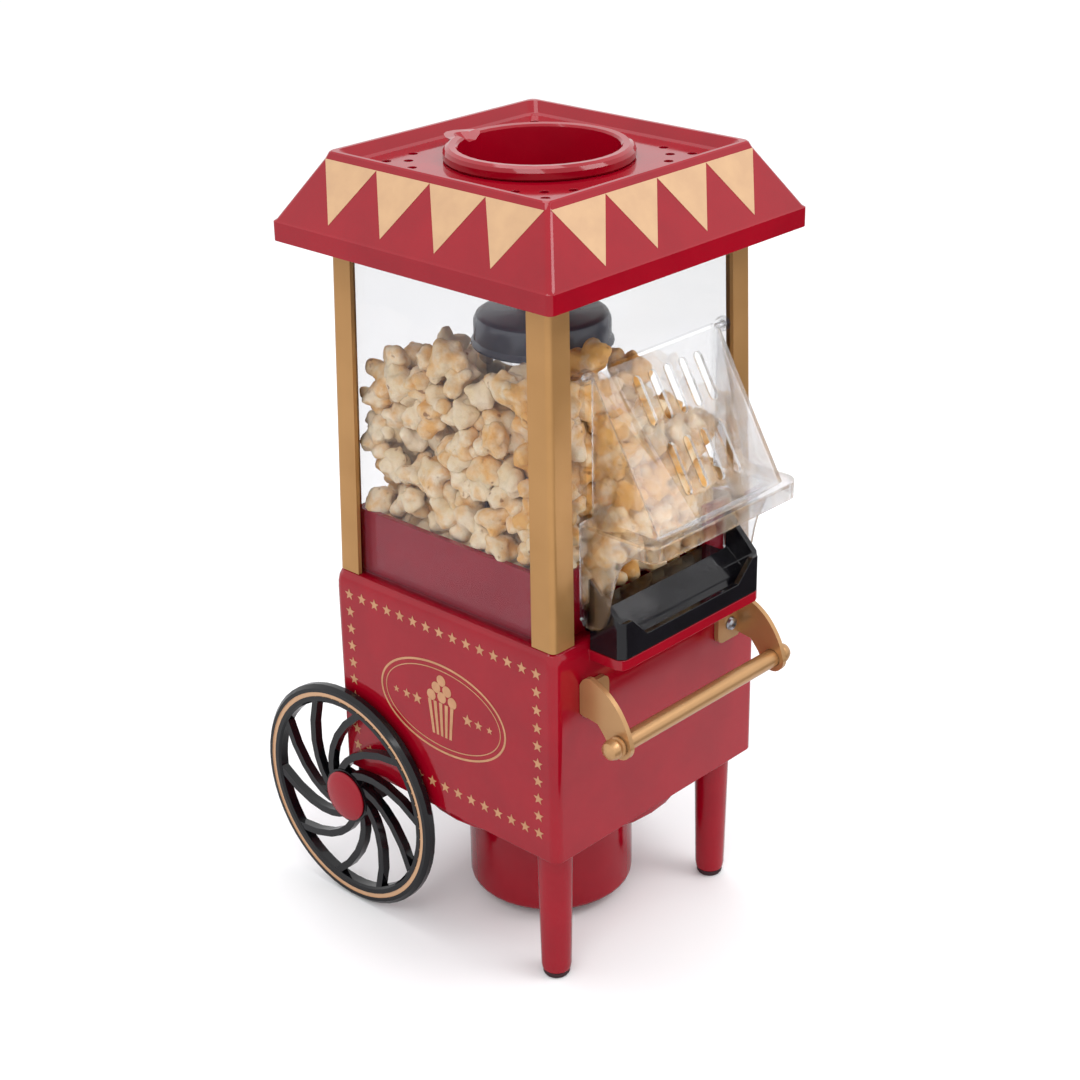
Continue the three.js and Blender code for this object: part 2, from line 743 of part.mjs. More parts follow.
function poppingChamber() {
  const inner = CHAMBER_RADIUS - CHAMBER_WALL;
  const cup = turned([
    [0, CHAMBER_BOTTOM],
    [CHAMBER_RADIUS - 2, CHAMBER_BOTTOM],
    [CHAMBER_RADIUS, CHAMBER_BOTTOM + 2],
    [CHAMBER_RADIUS, DECK + GAP],
    [CHAMBER_FLANGE, DECK + GAP],
    [CHAMBER_FLANGE, CHAMBER_TOP],
    [inner, CHAMBER_TOP],
    [inner, CHAMBER_BOTTOM + 3],
    [inner - 2, CHAMBER_BOTTOM + CHAMBER_WALL],
    [0, CHAMBER_BOTTOM + CHAMBER_WALL],
  ]);
  const slot = () => {
    const shape = box(-1, 1, -0.7, 0.7, CHAMBER_BOTTOM + 5, CHAMBER_BOTTOM + 15);
    return shape.scale(4, 1, 1).rotateZ(radians(40)).translate(CHAMBER_RADIUS - 0.6, 0, 0);
  };
  return cut(cup, ...around(CHAMBER_SLOTS, slot, radians(4)));
}

function chimneyTube() {
  const bottom = CHAMBER_TOP + GAP;
  const top = CAP_TOP - CAP_SHELL - GAP;
  const inner = CHIMNEY_RADIUS - CHIMNEY_WALL;
  const tube = turnedRing([
    [inner, bottom],
    [CHIMNEY_RADIUS + 3, bottom],
    [CHIMNEY_RADIUS + 3, bottom + 1.5],
    [CHIMNEY_RADIUS, bottom + 1.5],
    [CHIMNEY_RADIUS, top],
    [inner, top],
  ]);
  const windows = around(
    CHIMNEY_WINDOWS,
    () => box(20, 40, -14, 14, CAP_BOTTOM - 46, CAP_BOTTOM - 6),
    radians(45),
  );
  return cut(tube, ...windows);
}

function deflectorCap() {
  const inner = CHIMNEY_RADIUS + GAP;
  return turned([
    [0, CAP_TOP],
    [CAP_RADIUS - 4, CAP_TOP],
    [CAP_RADIUS - 1.2, CAP_TOP - 1.2],
    [CAP_RADIUS, CAP_TOP - 4],
    [CAP_RADIUS, CAP_BOTTOM + 3],
    [CAP_FLARE, CAP_BOTTOM + 1],
    [CAP_FLARE, CAP_BOTTOM],
    [inner, CAP_BOTTOM],
    [inner, CAP_TOP - CAP_SHELL],
    [0, CAP_TOP - CAP_SHELL],
  ]);
}

function popcornTray() {
  const bottom = DECK + GAP;
  const front = CHUTE_TONGUE_BACK + GAP;
  const [outerX, outerY] = [TRAY_OUTER_X, TRAY_OUTER_Y];
  const outer = stack([bottom, outerX, outerY, 4], [TRAY_TOP, outerX, outerY, 4]);
  const innerX = outerX - TRAY_WALL;
  const innerY = outerY - TRAY_WALL;
  const hollow = stack(
    [bottom + TRAY_FLOOR, innerX - 6, innerY - 6, 2],
    [bottom + TRAY_FLOOR + 6, innerX, innerY, 2],
    [TRAY_TOP + 1, innerX, innerY, 2],
  );
  const mouth = box(-OPENING_HALF, OPENING_HALF, -80, -50, bottom + TRAY_FLOOR, TRAY_TOP + 1);
  const behindFront = box(-80, 80, -90, front, bottom - 1, TRAY_TOP + 1);
  const hole = rod(TRAY_HOLE, bottom - 1, bottom + 10, ROUND);
  return leaned(cut(outer, hollow, mouth, behindFront, hole));
}

function rectifierBoard() {
  const board = box(-BOARD_HALF, BOARD_HALF, BOARD_Y, BOARD_Y + 1.6, BOARD_BOTTOM, BOARD_TOP);
  const bridge = box(-12, 2, BOARD_Y - 6, BOARD_Y + 0.5, BOARD_BOTTOM + 6, BOARD_BOTTOM + 14);
  const capacitor = laidY(rod(4, BOARD_Y - 11, BOARD_Y + 0.5, 12)).translate(10, 0, BOARD_BOTTOM + 20);
  return fuse(board, bridge, capacitor);
}

function poppingAssembly() {
  return assembly(
    "popping",
    piece("popping_chamber", poppingChamber(), ALUMINIUM),
    piece("chimney_tube", chimneyTube(), CLEAR),
    piece("deflector_cap", deflectorCap(), DARK_GREY),
    piece("popcorn_tray", popcornTray(), RED),
    piece("rectifier_board", rectifierBoard(), BOARD_GREEN),
  );
}

// ---------------------------------------------------------------- cabinet

// An angle section for the corner at +X +Y, mirrored to the corner asked for.
function post(sideX, sideY) {
  const [x, y] = [POST_HALF_X, POST_HALF_Y];
  const shape = new THREE.Shape();
  shape.moveTo(x - POST_WIDTH, y);
  shape.lineTo(x - POST_WIDTH, y - POST_THICK);
  shape.lineTo(x - POST_THICK, y - POST_THICK);
  shape.lineTo(x - POST_THICK, y - POST_WIDTH);
  shape.lineTo(x, y - POST_WIDTH);
  shape.lineTo(x, y - POST_CORNER);
  shape.absarc(x - POST_CORNER, y - POST_CORNER, POST_CORNER, 0, Math.PI / 2, false);
  const bar = raised(shape, CABINET_BOTTOM, CABINET_TOP - GAP, 5);
  return leaned(bar).scale(sideX, sideY, 1);
}

function sideWindow(side) {
  const [from, to] = side < 0 ? [-PANE_OUTER_X, PANE - PANE_OUTER_X] : [PANE_OUTER_X - PANE, PANE_OUTER_X];
  return leaned(box(from, to, -PANE_OUTER_Y, PANE_OUTER_Y, CABINET_BOTTOM, CABINET_TOP - GAP));
}

function endPaneHalf() {
  return PANE_OUTER_X - PANE - GAP;
}

function rearWindow() {
  const half = endPaneHalf();
  const back = PANE_OUTER_Y;
  return leaned(box(-half, half, back - PANE, back, CABINET_BOTTOM, CABINET_TOP - GAP));
}

// The front pane has the serving opening, with an ear on each side for the flap's pegs.
function frontWindow() {
  const half = endPaneHalf();
  const pane = cut(
    leaned(box(-half, half, -PANE_OUTER_Y, PANE - PANE_OUTER_Y, CABINET_BOTTOM, CABINET_TOP - GAP)),
    box(-OPENING_HALF, OPENING_HALF, -80, -50, CABINET_BOTTOM - 5, HINGE_Z),
  );
  const ears = SIDES.map(([, side]) => {
    const [from, to] = side < 0 ? [-EAR_OUTER, -EAR_INNER] : [EAR_INNER, EAR_OUTER];
    const eye = laidX(rod(EAR_RADIUS, from, to, 14)).translate(0, HINGE_Y, HINGE_Z);
    const root = box(from, to, HINGE_Y, PANE - PANE_OUTER_Y - 1, HINGE_Z - EAR_RADIUS, HINGE_Z + EAR_RADIUS);
    return fuse(eye, root);
  });
  const bores = laidX(rod(PEG_RADIUS + RUN, -60, 60, 12)).translate(0, HINGE_Y, HINGE_Z);
  return cut(fuse(pane, ...ears), bores);
}

function cabinetTopFrame() {
  const halfX = POST_HALF_X - CABINET_LEAN;
  const halfY = POST_HALF_Y - CABINET_LEAN;
  const ring = (x, y, z0, z1) => stack([z0, x, y, 3], [z1, x, y, 3]);
  return cut(
    ring(halfX, halfY, CABINET_TOP, FRAME_TOP),
    ring(halfX - FRAME_WIDTH, halfY - FRAME_WIDTH, CABINET_TOP - 1, FRAME_TOP + 1),
  );
}

function cabinetAssembly() {
  const corners = [
    ["post_front_left", -1, -1],
    ["post_front_right", 1, -1],
    ["post_rear_left", -1, 1],
    ["post_rear_right", 1, 1],
  ];
  return assembly(
    "cabinet",
    ...corners.map(([name, sideX, sideY]) => piece(name, post(sideX, sideY), GOLD)),
    ...SIDES.map(([name, side]) => piece(`window_${name}`, sideWindow(side), CLEAR)),
    piece("window_rear", rearWindow(), CLEAR),
    piece("window_front", frontWindow(), CLEAR),
    piece("cabinet_top_frame", cabinetTopFrame(), RED),
  );
}

// ---------------------------------------------------------------- chute and flap

function chute() {
  const back = BASE_FACE - GAP;
  const inner = CHUTE_FRONT + CHUTE_WALL;
  const body = drawnX(
    outline([
      [back, CHUTE_BOTTOM],
      [CHUTE_FRONT, CHUTE_BOTTOM],
      [CHUTE_FRONT, CHUTE_RIM_CORNER],
      [CHUTE_FRONT + 2, CHUTE_RIM_CORNER],
      [back, CHUTE_BACK_RIM],
    ]),
    -CHUTE_HALF,
    CHUTE_HALF,
  );
  const tongueHalf = OPENING_HALF - 0.7;
  const tongue = drawnX(
    outline([
      [back - 1, CHUTE_CREST - CHUTE_WALL],
      [CHUTE_TONGUE_BACK - 2, CHUTE_CREST - CHUTE_WALL],
      [CHUTE_TONGUE_BACK - 2, CABINET_BOTTOM],
      [CHUTE_TONGUE_BACK, CABINET_BOTTOM],
      [CHUTE_TONGUE_BACK, CHUTE_CREST],
      [back - 1, CHUTE_CREST],
    ]),
    -tongueHalf,
    tongueHalf,
  );
  const bowlHalf = CHUTE_HALF - CHUTE_WALL;
  const bowl = drawnX(
    outline([
      [inner, CHUTE_FLOOR_FRONT],
      [back - 1, CHUTE_CREST],
      [back + 4, CHUTE_CREST],
      [back + 4, CHUTE_BACK_RIM + 9],
      [inner, CHUTE_BACK_RIM + 9],
    ]),
    -bowlHalf,
    bowlHalf,
  );
  const pocket = drawnX(
    outline([
      [inner, CHUTE_BOTTOM - 1],
      [back - WALL, CHUTE_BOTTOM - 1],
      [back - WALL, CHUTE_CREST - CHUTE_WALL - 1.5],
      [inner, CHUTE_BOTTOM + 2],
    ]),
    -bowlHalf,
    bowlHalf,
  );
  const dip = drawnY(
    outline([
      [-CHUTE_DIP_HALF - 11, CHUTE_RIM_CORNER + 0.5],
      [-CHUTE_DIP_HALF, CHUTE_RIM_DIP],
      [CHUTE_DIP_HALF, CHUTE_RIM_DIP],
      [CHUTE_DIP_HALF + 11, CHUTE_RIM_CORNER + 0.5],
    ]),
    CHUTE_FRONT - 1,
    inner + 0.5,
  );
  const chamfers = [-1, 1].map((side) =>
    raised(
      outline([
        [side * CHUTE_HALF + side, CHUTE_FRONT - 1],
        [side * CHUTE_HALF + side, CHUTE_FRONT + CHUTE_CHAMFER + 1],
        [side * (CHUTE_HALF - CHUTE_CHAMFER - 1), CHUTE_FRONT - 1],
      ]),
      CHUTE_BOTTOM - 1,
      CHUTE_BACK_RIM,
    ),
  );
  return fuse(cut(body, bowl, pocket, dip, ...chamfers), tongue);
}

// Carries (x, outwards from the panel, down the slope) to the place of the closed flap.
function flapPlacement() {
  const down = new THREE.Vector3(0, FLAP_FOOT_Y - HINGE_Y, FLAP_FOOT_Z - HINGE_Z).normalize();
  const out = new THREE.Vector3().crossVectors(down, X_AXIS);
  return new THREE.Matrix4().makeBasis(X_AXIS, out, down).setPosition(0, HINGE_Y, HINGE_Z);
}

function flapPanel() {
  const length = Math.hypot(FLAP_FOOT_Y - HINGE_Y, FLAP_FOOT_Z - HINGE_Z) + 1.8;
  const halfWall = FLAP_WALL / 2;
  const section = (z, crease) => {
    const outer = [
      [FLAP_HALF, halfWall],
      [crease, halfWall + FLAP_PROUD],
      [-crease, halfWall + FLAP_PROUD],
      [-FLAP_HALF, halfWall],
    ];
    const inner = outer.map(([x, t]) => [x, t - FLAP_WALL]).reverse();
    return { z, ring: [...outer, ...inner].map(([x, t]) => new THREE.Vector2(x, t)) };
  };
  const panel = loft([section(0, FLAP_CREASE_TOP), section(length, FLAP_CREASE_FOOT)]);
  const slots = SLOT_ROWS.flatMap(({ centres, from, to }) =>
    centres.map((x) => {
      const shape = new THREE.Shape();
      const radius = SLOT_WIDTH / 2;
      shape.absarc(x, to - radius, radius, 0, Math.PI, false);
      shape.absarc(x, from + radius, radius, Math.PI, 2 * Math.PI, false);
      return drawnY(shape, -5, 8, 5);
    }),
  );
  return cut(panel, ...slots).applyMatrix4(flapPlacement());
}

// The lip's outline seen from above, drawn in by `inset`.
function lipOutline(inset) {
  const half = CHEEK_OUTER - inset;
  const front = LIP_FRONT + inset;
  const radius = LIP_CORNER - inset;
  const shape = new THREE.Shape();
  shape.moveTo(half, FLAP_BACK);
  shape.lineTo(-half, FLAP_BACK);
  shape.absarc(-half + radius, front + radius, radius, Math.PI, 1.5 * Math.PI, false);
  shape.absarc(half - radius, front + radius, radius, 1.5 * Math.PI, 2 * Math.PI, false);
  return shape;
}

function flapLip() {
  const plate = raised(lipOutline(0), LIP_TOP - LIP_THICK, LIP_TOP);
  const skirt = cut(
    raised(lipOutline(0), SKIRT_BOTTOM, LIP_TOP),
    raised(lipOutline(FLAP_WALL), SKIRT_BOTTOM - 1, LIP_TOP + 1),
    box(-60, 60, FLAP_BACK - 1, FLAP_BACK + 1, SKIRT_BOTTOM - 1, LIP_TOP + 1),
  );
  const clear = FLAP_HALF - FLAP_WALL;
  const mouth = box(-clear, clear, FLAP_FOOT_Y + 2, FLAP_BACK + 1, SKIRT_BOTTOM, LIP_TOP + 1);
  return fuse(cut(plate, mouth), skirt);
}

function flapCheek(side) {
  const profile = outline([
    [FLAP_BACK, LIP_TOP],
    [-99.7, LIP_TOP],
    [-99.7, SKIRT_BOTTOM],
    [-92.8, 226],
    [-89.2, 217],
    [-87, 208.5],
    [-85.6, 200.5],
    [-83.7, 195],
    [-80.6, 191.4],
    [-76, 190],
    [-71.6, 191],
    [FLAP_BACK, 194],
  ]);
  return drawnX(profile, side < 0 ? -CHEEK_OUTER : CHEEK_INNER, side < 0 ? -CHEEK_INNER : CHEEK_OUTER);
}

function flapSide(side) {
  const profile = outline([
    [HINGE_Y, HINGE_Z],
    [FLAP_FOOT_Y, FLAP_FOOT_Z],
    [FLAP_FOOT_Y, LIP_TOP - 1],
    [FLAP_BACK, LIP_TOP - 1],
    [FLAP_BACK, HINGE_Z - 2],
  ]);
  const clear = FLAP_HALF - FLAP_WALL;
  return drawnX(profile, side < 0 ? -FLAP_HALF : clear, side < 0 ? -clear : FLAP_HALF);
}

function flap() {
  const pegs = [-1, 1].map((side) => {
    const [from, to] = side < 0 ? [-PEG_REACH, 1 - FLAP_HALF] : [FLAP_HALF - 1, PEG_REACH];
    return laidX(rod(PEG_RADIUS, from, to, 12)).translate(0, HINGE_Y, HINGE_Z);
  });
  const sides = SIDES.flatMap(([, side]) => [flapSide(side), flapCheek(side)]);
  return fuse(flapPanel(), flapLip(), ...sides, ...pegs);
}

function servingAssembly() {
  return assembly("serving", piece("chute", chute(), BLACK), piece("flap", flap(), CLEAR));
}

// ---------------------------------------------------------------- roof and cup

function roof() {
  const slope = (ROOF_TOP_HALF - LIP_HALF_X + 1.2) / (ROOF_SLOPE_TOP - ROOF_LIP_TOP);
  const outer = stack(
    [CABINET_TOP, LIP_HALF_X, LIP_HALF_Y, ROOF_CORNER],
    [ROOF_LIP_TOP - 1, LIP_HALF_X, LIP_HALF_Y, ROOF_CORNER],
    [ROOF_LIP_TOP, LIP_HALF_X - 1.2, LIP_HALF_Y - 1.2, ROOF_CORNER],
    [ROOF_SLOPE_TOP, ROOF_TOP_HALF, ROOF_TOP_HALF, ROOF_CORNER],
    [ROOF_TOP - 0.6, ROOF_TOP_HALF - 1, ROOF_TOP_HALF - 1, ROOF_CORNER],
    [ROOF_TOP, ROOF_TOP_HALF - 1.7, ROOF_TOP_HALF - 1.7, ROOF_CORNER],
  );
  const ceiling = WELL_FLOOR - WALL;
  const ceilingHalf = ROOF_TOP_HALF - WALL + slope * (ceiling - ROOF_SLOPE_TOP);
  const hollow = stack(
    [CABINET_TOP - 1, LIP_HALF_X - WALL, LIP_HALF_Y - WALL, ROOF_CORNER - 2],
    [ROOF_LIP_TOP - 2, LIP_HALF_X - WALL, LIP_HALF_Y - WALL, ROOF_CORNER - 2],
    [ceiling, ceilingHalf, ceilingHalf, ROOF_CORNER - 2],
  );
  const well = stack(
    [WELL_FLOOR, WELL_HALF, WELL_HALF, 5],
    [WELL_FLOOR + 0.8, WELL_HALF + 2, WELL_HALF + 2, 5],
    [ROOF_TOP + 0.5, WELL_RIM_HALF + 0.3, WELL_RIM_HALF + 0.3, 5],
  );
  const rib = cut(
    stack([FRAME_TOP + GAP, RIB_HALF, RIB_HALF, 3], [ceiling + 1, RIB_HALF, RIB_HALF, 3]),
    stack([FRAME_TOP, RIB_HALF - WALL, RIB_HALF - WALL, 2], [ceiling + 2, RIB_HALF - WALL, RIB_HALF - WALL, 2]),
  );
  const vents = [-1, 1].flatMap((sx) =>
    [-1, 1].flatMap((sy) =>
      VENTS.map(([x, y]) => rod(VENT_RADIUS, ceiling - 1, ROOF_TOP, 10).translate(sx * x, sy * y, 0)),
    ),
  );
  const cupHole = rod(CUP_RADIUS + CUP_WALL + RUN, ceiling - 1, ROOF_TOP, ROUND);
  return cut(fuse(cut(outer, hollow, well), rib), cupHole, ...vents);
}

function measuringCup() {
  const seat = WELL_FLOOR + GAP;
  const waist = CUP_RADIUS + CUP_WALL;
  const cup = turned([
    [0, CUP_BOTTOM],
    [waist - 5.5, CUP_BOTTOM],
    [waist - 3.5, CUP_BOTTOM + 2],
    [waist, seat],
    [CUP_COLLAR - 0.6, seat],
    [CUP_COLLAR, seat + 0.8],
    [CUP_COLLAR, CUP_TOP - 2.6],
    [CUP_COLLAR - 1, CUP_TOP - 0.9],
    [CUP_COLLAR - 2.8, CUP_TOP],
    [CUP_RADIUS + 1, CUP_TOP - 0.2],
    [CUP_RADIUS, CUP_TOP - 1.2],
    [waist - 5, CUP_BOTTOM + 3.5],
    [waist - 7, CUP_BOTTOM + CUP_WALL],
    [0, CUP_BOTTOM + CUP_WALL],
  ]);
  const lip = loft([
    { z: seat + 0.6, ring: spoutRing(CUP_RADIUS + 2, CUP_COLLAR + 1.5, 7) },
    { z: CUP_TOP - 0.8, ring: spoutRing(CUP_RADIUS + 2, SPOUT_REACH, 12) },
  ]);
  const groove = loft([
    { z: CUP_TOP - 3.4, ring: spoutRing(CUP_RADIUS - 4, CUP_COLLAR - 2, 3) },
    { z: CUP_TOP + 0.4, ring: spoutRing(CUP_RADIUS - 4, SPOUT_REACH - 2.6, 9) },
  ]);
  const turn = radians(SPOUT_TURN);
  return cut(fuse(cup, lip.rotateZ(turn)), groove.rotateZ(turn));
}

// A blunt wedge pointing along +X, from `root` out to `reach`.
function spoutRing(root, reach, halfWidth) {
  const points = [
    [root, -halfWidth],
    [reach - halfWidth * 0.5, -halfWidth * 0.75],
    [reach - halfWidth * 0.12, -halfWidth * 0.35],
    [reach, 0],
    [reach - halfWidth * 0.12, halfWidth * 0.35],
    [reach - halfWidth * 0.5, halfWidth * 0.75],
    [root, halfWidth],
  ];
  return points.map(([x, y]) => new THREE.Vector2(x, y));
}

function roofAssembly() {
  return assembly("top", piece("roof", roof(), RED), piece("measuring_cup", measuringCup(), RED));
}

// ---------------------------------------------------------------- legs and wheels

function leg() {
  const bottom = FOOT_HEIGHT + GAP;
  const top = PLATE_BOTTOM - GAP;
  const socket = SPIGOT_RADIUS + GAP;
  const depth = FOOT_HEIGHT + SPIGOT_LENGTH + GAP;
  return turned(
    [
      [0, top],
      [LEG_TOP_RADIUS, top],
      [LEG_TOP_RADIUS, top - 3],
      [LEG_FOOT_RADIUS + 0.1, bottom + 3],
      [LEG_FOOT_RADIUS - 0.4, bottom],
      [socket, bottom],
      [socket, depth],
      [0, depth],
    ],
    20,
  );
}

function foot() {
  const top = FOOT_HEIGHT + SPIGOT_LENGTH;
  return turned(
    [
      [0, 0],
      [FOOT_RADIUS, 0],
      [FOOT_TOP_RADIUS, 1.5],
      [FOOT_TOP_RADIUS, FOOT_HEIGHT],
      [SPIGOT_RADIUS, FOOT_HEIGHT],
      [SPIGOT_RADIUS, top],
      [0, top],
    ],
    20,
  );
}

// One spoke in the wheel's plane: a band of even width along a spiral from the hub to the rim.
function spokeOutline() {
  const inner = HUB_RADIUS - 2;
  const outer = RIM_INNER + 2;
  const steps = 6;
  const lean = Math.atan(SPOKE_SWEEP);
  const edge = (offset) =>
    Array.from({ length: steps + 1 }, (_, i) => {
      const radius = inner * (outer / inner) ** (i / steps);
      const angle = SPOKE_SWEEP * Math.log(radius / RIM_INNER);
      const across = angle + lean + Math.PI / 2;
      const u = radius * Math.cos(angle) + offset * Math.cos(across);
      return [u, radius * Math.sin(angle) + offset * Math.sin(across)];
    });
  return outline([...edge(-SPOKE_WIDTH / 2), ...edge(SPOKE_WIDTH / 2).reverse()]);
}

// A wheel about Z with its outer face up; z here is |x| on the machine.
function wheel() {
  const [inner, outer] = [WHEEL_INNER, WHEEL_OUTER];
  const bore = AXLE_RADIUS + RUN;
  const rim = turnedRing(
    [
      [RIM_INNER, inner + 0.6],
      [WHEEL_RADIUS - 1.5, inner],
      [WHEEL_RADIUS, inner + 1.5],
      [WHEEL_RADIUS, outer - 1.8],
      [WHEEL_RADIUS - 1.8, outer],
      [STRIPE_OUTER, outer],
      [STRIPE_OUTER, outer - STRIPE_DEPTH],
      [STRIPE_INNER, outer - STRIPE_DEPTH],
      [STRIPE_INNER, outer],
      [RIM_INNER + 1, outer],
      [RIM_INNER, outer - 1],
    ],
    WHEEL_FACETS,
  );
  const hub = turnedRing(
    [
      [bore, LUG_OUTER + RUN],
      [BOSS_RADIUS, LUG_OUTER + RUN],
      [BOSS_RADIUS, inner + 1],
      [HUB_RADIUS, inner + 1],
      [HUB_RADIUS, outer - 0.5],
      [bore, outer - 0.5],
    ],
    24,
  );
  const middle = (inner + outer) / 2;
  const spoke = () => raised(spokeOutline(), middle - SPOKE_THICK / 2, middle + SPOKE_THICK / 2);
  return fuse(rim, hub, ...around(SPOKES, spoke, radians(SPOKE_PHASE)));
}

// The hub cap about Z, its dome up, with a pocket for the end of the axle.
function hubCap() {
  const seat = WHEEL_OUTER - 0.5 + GAP;
  const pocket = AXLE_RADIUS + RUN;
  return turned(
    [
      [0, seat + HUB_CAP_HEIGHT],
      [HUB_CAP_RADIUS * 0.4, seat + HUB_CAP_HEIGHT - 0.2],
      [HUB_CAP_RADIUS * 0.75, seat + HUB_CAP_HEIGHT - 0.8],
      [HUB_CAP_RADIUS * 0.94, seat + HUB_CAP_HEIGHT - 1.7],
      [HUB_CAP_RADIUS, seat + 0.6],
      [HUB_CAP_RADIUS, seat],
      [pocket, seat],
      [pocket, AXLE_REACH + GAP],
      [0, AXLE_REACH + GAP],
    ],
    30,
  );
}

// Stands a wheel piece on its side: its outer face looks along the sign of `side` on X.
function onAxle(geometry, side) {
  const upright = geometry.applyMatrix4(new THREE.Matrix4().makeBasis(Y_AXIS, Z_AXIS, X_AXIS));
  if (side < 0) upright.scale(-1, 1, 1);
  return upright.translate(0, AXLE_Y, WHEEL_RADIUS);
}

function runningGear() {
  const axle = laidX(rod(AXLE_RADIUS, -AXLE_REACH, AXLE_REACH)).translate(0, AXLE_Y, WHEEL_RADIUS);
  const perSide = SIDES.flatMap(([name, side]) => [
    piece(`leg_${name}`, leg().translate(side * LEG_X, LEG_Y, 0), RED),
    piece(`foot_${name}`, foot().translate(side * LEG_X, LEG_Y, 0), RUBBER),
    piece(`wheel_${name}`, onAxle(wheel(), side), BLACK),
    piece(`hub_cap_${name}`, onAxle(hubCap(), side), RED),
  ]);
  return assembly("running_gear", ...perSide, piece("wheel_axle", axle, STEEL));
}

// ---------------------------------------------------------------- handle

function bracketOutline() {
  const back = BASE_FACE - GAP;
  const shape = new THREE.Shape();
  shape.moveTo(back, 149);
  shape.lineTo(back, BRACKET_FOOT_TOP);
  shape.quadraticCurveTo(back - 2, 168.6, back - 6.3, 168.8);
  shape.splineThru([
    new THREE.Vector2(-88, 165),
    new THREE.Vector2(-94.8, 159.4),
    new THREE.Vector2(-100.6, 151),
    new THREE.Vector2(BAR_Y - EYE_RADIUS, BAR_Z + 0.5),
  ]);
  shape.absarc(BAR_Y, BAR_Z, EYE_RADIUS, Math.PI, 1.75 * Math.PI, false);
  shape.splineThru([new THREE.Vector2(-88.6, 142), new THREE.Vector2(-84, 147.4)]);
  return shape;
}

function handleBracket(side) {
  const back = BASE_FACE - GAP;
  const [from, to] = [BRACKET_OUTER - BRACKET_THICK, BRACKET_OUTER];
  const plate = drawnX(bracketOutline(), from, to, 5);
  const footShape = new THREE.Shape();
  const radius = 4;
  footShape.moveTo(to, BRACKET_FOOT_BOTTOM + 2.5);
  footShape.lineTo(to, BRACKET_FOOT_TOP);
  footShape.absarc(
    BRACKET_FOOT_INNER + radius,
    BRACKET_FOOT_TOP - radius,
    radius,
    Math.PI / 2,
    Math.PI,
    false,
  );
  footShape.absarc(
    BRACKET_FOOT_INNER + radius,
    BRACKET_FOOT_BOTTOM + radius,
    radius,
    Math.PI,
    1.5 * Math.PI,
    false,
  );
  footShape.lineTo(to - 2, BRACKET_FOOT_BOTTOM);
  const footPlate = drawnY(footShape, back - BRACKET_THICK, back, 4);
  const barHole = laidX(rod(BAR_RADIUS + GAP, 40, 70, 20)).translate(0, BAR_Y, BAR_Z);
  const screwHole = laidY(rod(SCREW_SHANK + GAP, -90, -60, 10));
  const bracket = cut(
    fuse(plate, footPlate),
    barHole,
    screwHole.translate(HANDLE_SCREW_X, 0, HANDLE_SCREW_Z),
  );
  return bracket.scale(side, 1, 1);
}

function handleBar() {
  const neck = BRACKET_OUTER + 0.8;
  const half = [
    [BAR_RADIUS, 0],
    [BAR_RADIUS, neck],
    [BALL_RADIUS, neck],
    [BALL_RADIUS, neck + 1],
    [BAR_RADIUS - 0.6, neck + 1.6],
    [BALL_RADIUS - 0.2, BALL_X - 1],
    [BALL_RADIUS, BALL_X + 0.4],
    [BALL_RADIUS - 1, BALL_X + 2.9],
    [BALL_RADIUS - 3, BALL_X + 4.3],
    [0, BALL_X + 4.7],
  ];
  const other = half.slice(1).map(([r, x]) => [r, -x]);
  return laidX(turned([...other.reverse(), ...half.slice(1)], 20)).translate(0, BAR_Y, BAR_Z);
}

function handleScrew(side) {
  const seat = BASE_FACE - 2 * GAP - BRACKET_THICK;
  const screw = laidY(
    turned(
      [
        [0, seat - 2.2],
        [1.8, seat - 2],
        [SCREW_HEAD - 0.2, seat - 1.2],
        [SCREW_HEAD + 0.3, seat],
        [SCREW_SHANK, seat],
        [SCREW_SHANK, seat + 9],
        [0, seat + 10],
      ],
      14,
    ),
  );
  const slots = [
    box(-1.8, 1.8, seat - 3, seat - 1.2, -0.4, 0.4),
    box(-0.4, 0.4, seat - 3, seat - 1.2, -1.8, 1.8),
  ];
  return cut(screw, ...slots)
    .rotateY(radians(side * 20))
    .translate(side * HANDLE_SCREW_X, 0, HANDLE_SCREW_Z);
}

function handleAssembly() {
  const perSide = SIDES.flatMap(([name, side]) => [
    piece(`handle_bracket_${name}`, handleBracket(side), GOLD),
    piece(`handle_screw_${name}`, handleScrew(side), STEEL),
  ]);
  return assembly("handle", ...perSide, piece("handle_bar", handleBar(), GOLD));
}

// ---------------------------------------------------------------- switch and gland

function switchBezel() {
  const face = BASE_HALF_Y + GAP;
  const [x0, x1, z0, z1] = switchOpening(0);
  const [f0, f1, f2, f3] = switchOpening(SWITCH_FLANGE);
  const body = box(x0, x1, face - SWITCH_DEPTH, face + 1, z0, z1);
  const flange = box(f0, f1, face, face + 2, f2, f3);
  const halfWidth = SWITCH_WIDTH / 2 - 2;
  const halfHeight = ROCKER_RADIUS + RUN;
  const well = box(
    SWITCH_X - halfWidth,
    SWITCH_X + halfWidth,
    face - SWITCH_DEPTH + 2,
    face + 5,
    SWITCH_Z - halfHeight,
    SWITCH_Z + halfHeight,
  );
  return cut(fuse(body, flange), well);
}

function switchRocker() {
  const [front, dip, flank] = [3.6, 2.2, 5.05];
  const profile = outline([
    [front, flank],
    [dip, 0],
    [front, -flank],
    [0, -ROCKER_RADIUS],
    [-3.5, -4.6],
    [-5.5, 0],
    [-3.5, 4.6],
    [0, ROCKER_RADIUS],
  ]);
  const halfWidth = SWITCH_WIDTH / 2 - 2 - RUN;
  return drawnX(profile, -halfWidth, halfWidth)
    .rotateX(radians(ROCKER_TILT))
    .translate(SWITCH_X, BASE_HALF_Y + GAP, SWITCH_Z);
}

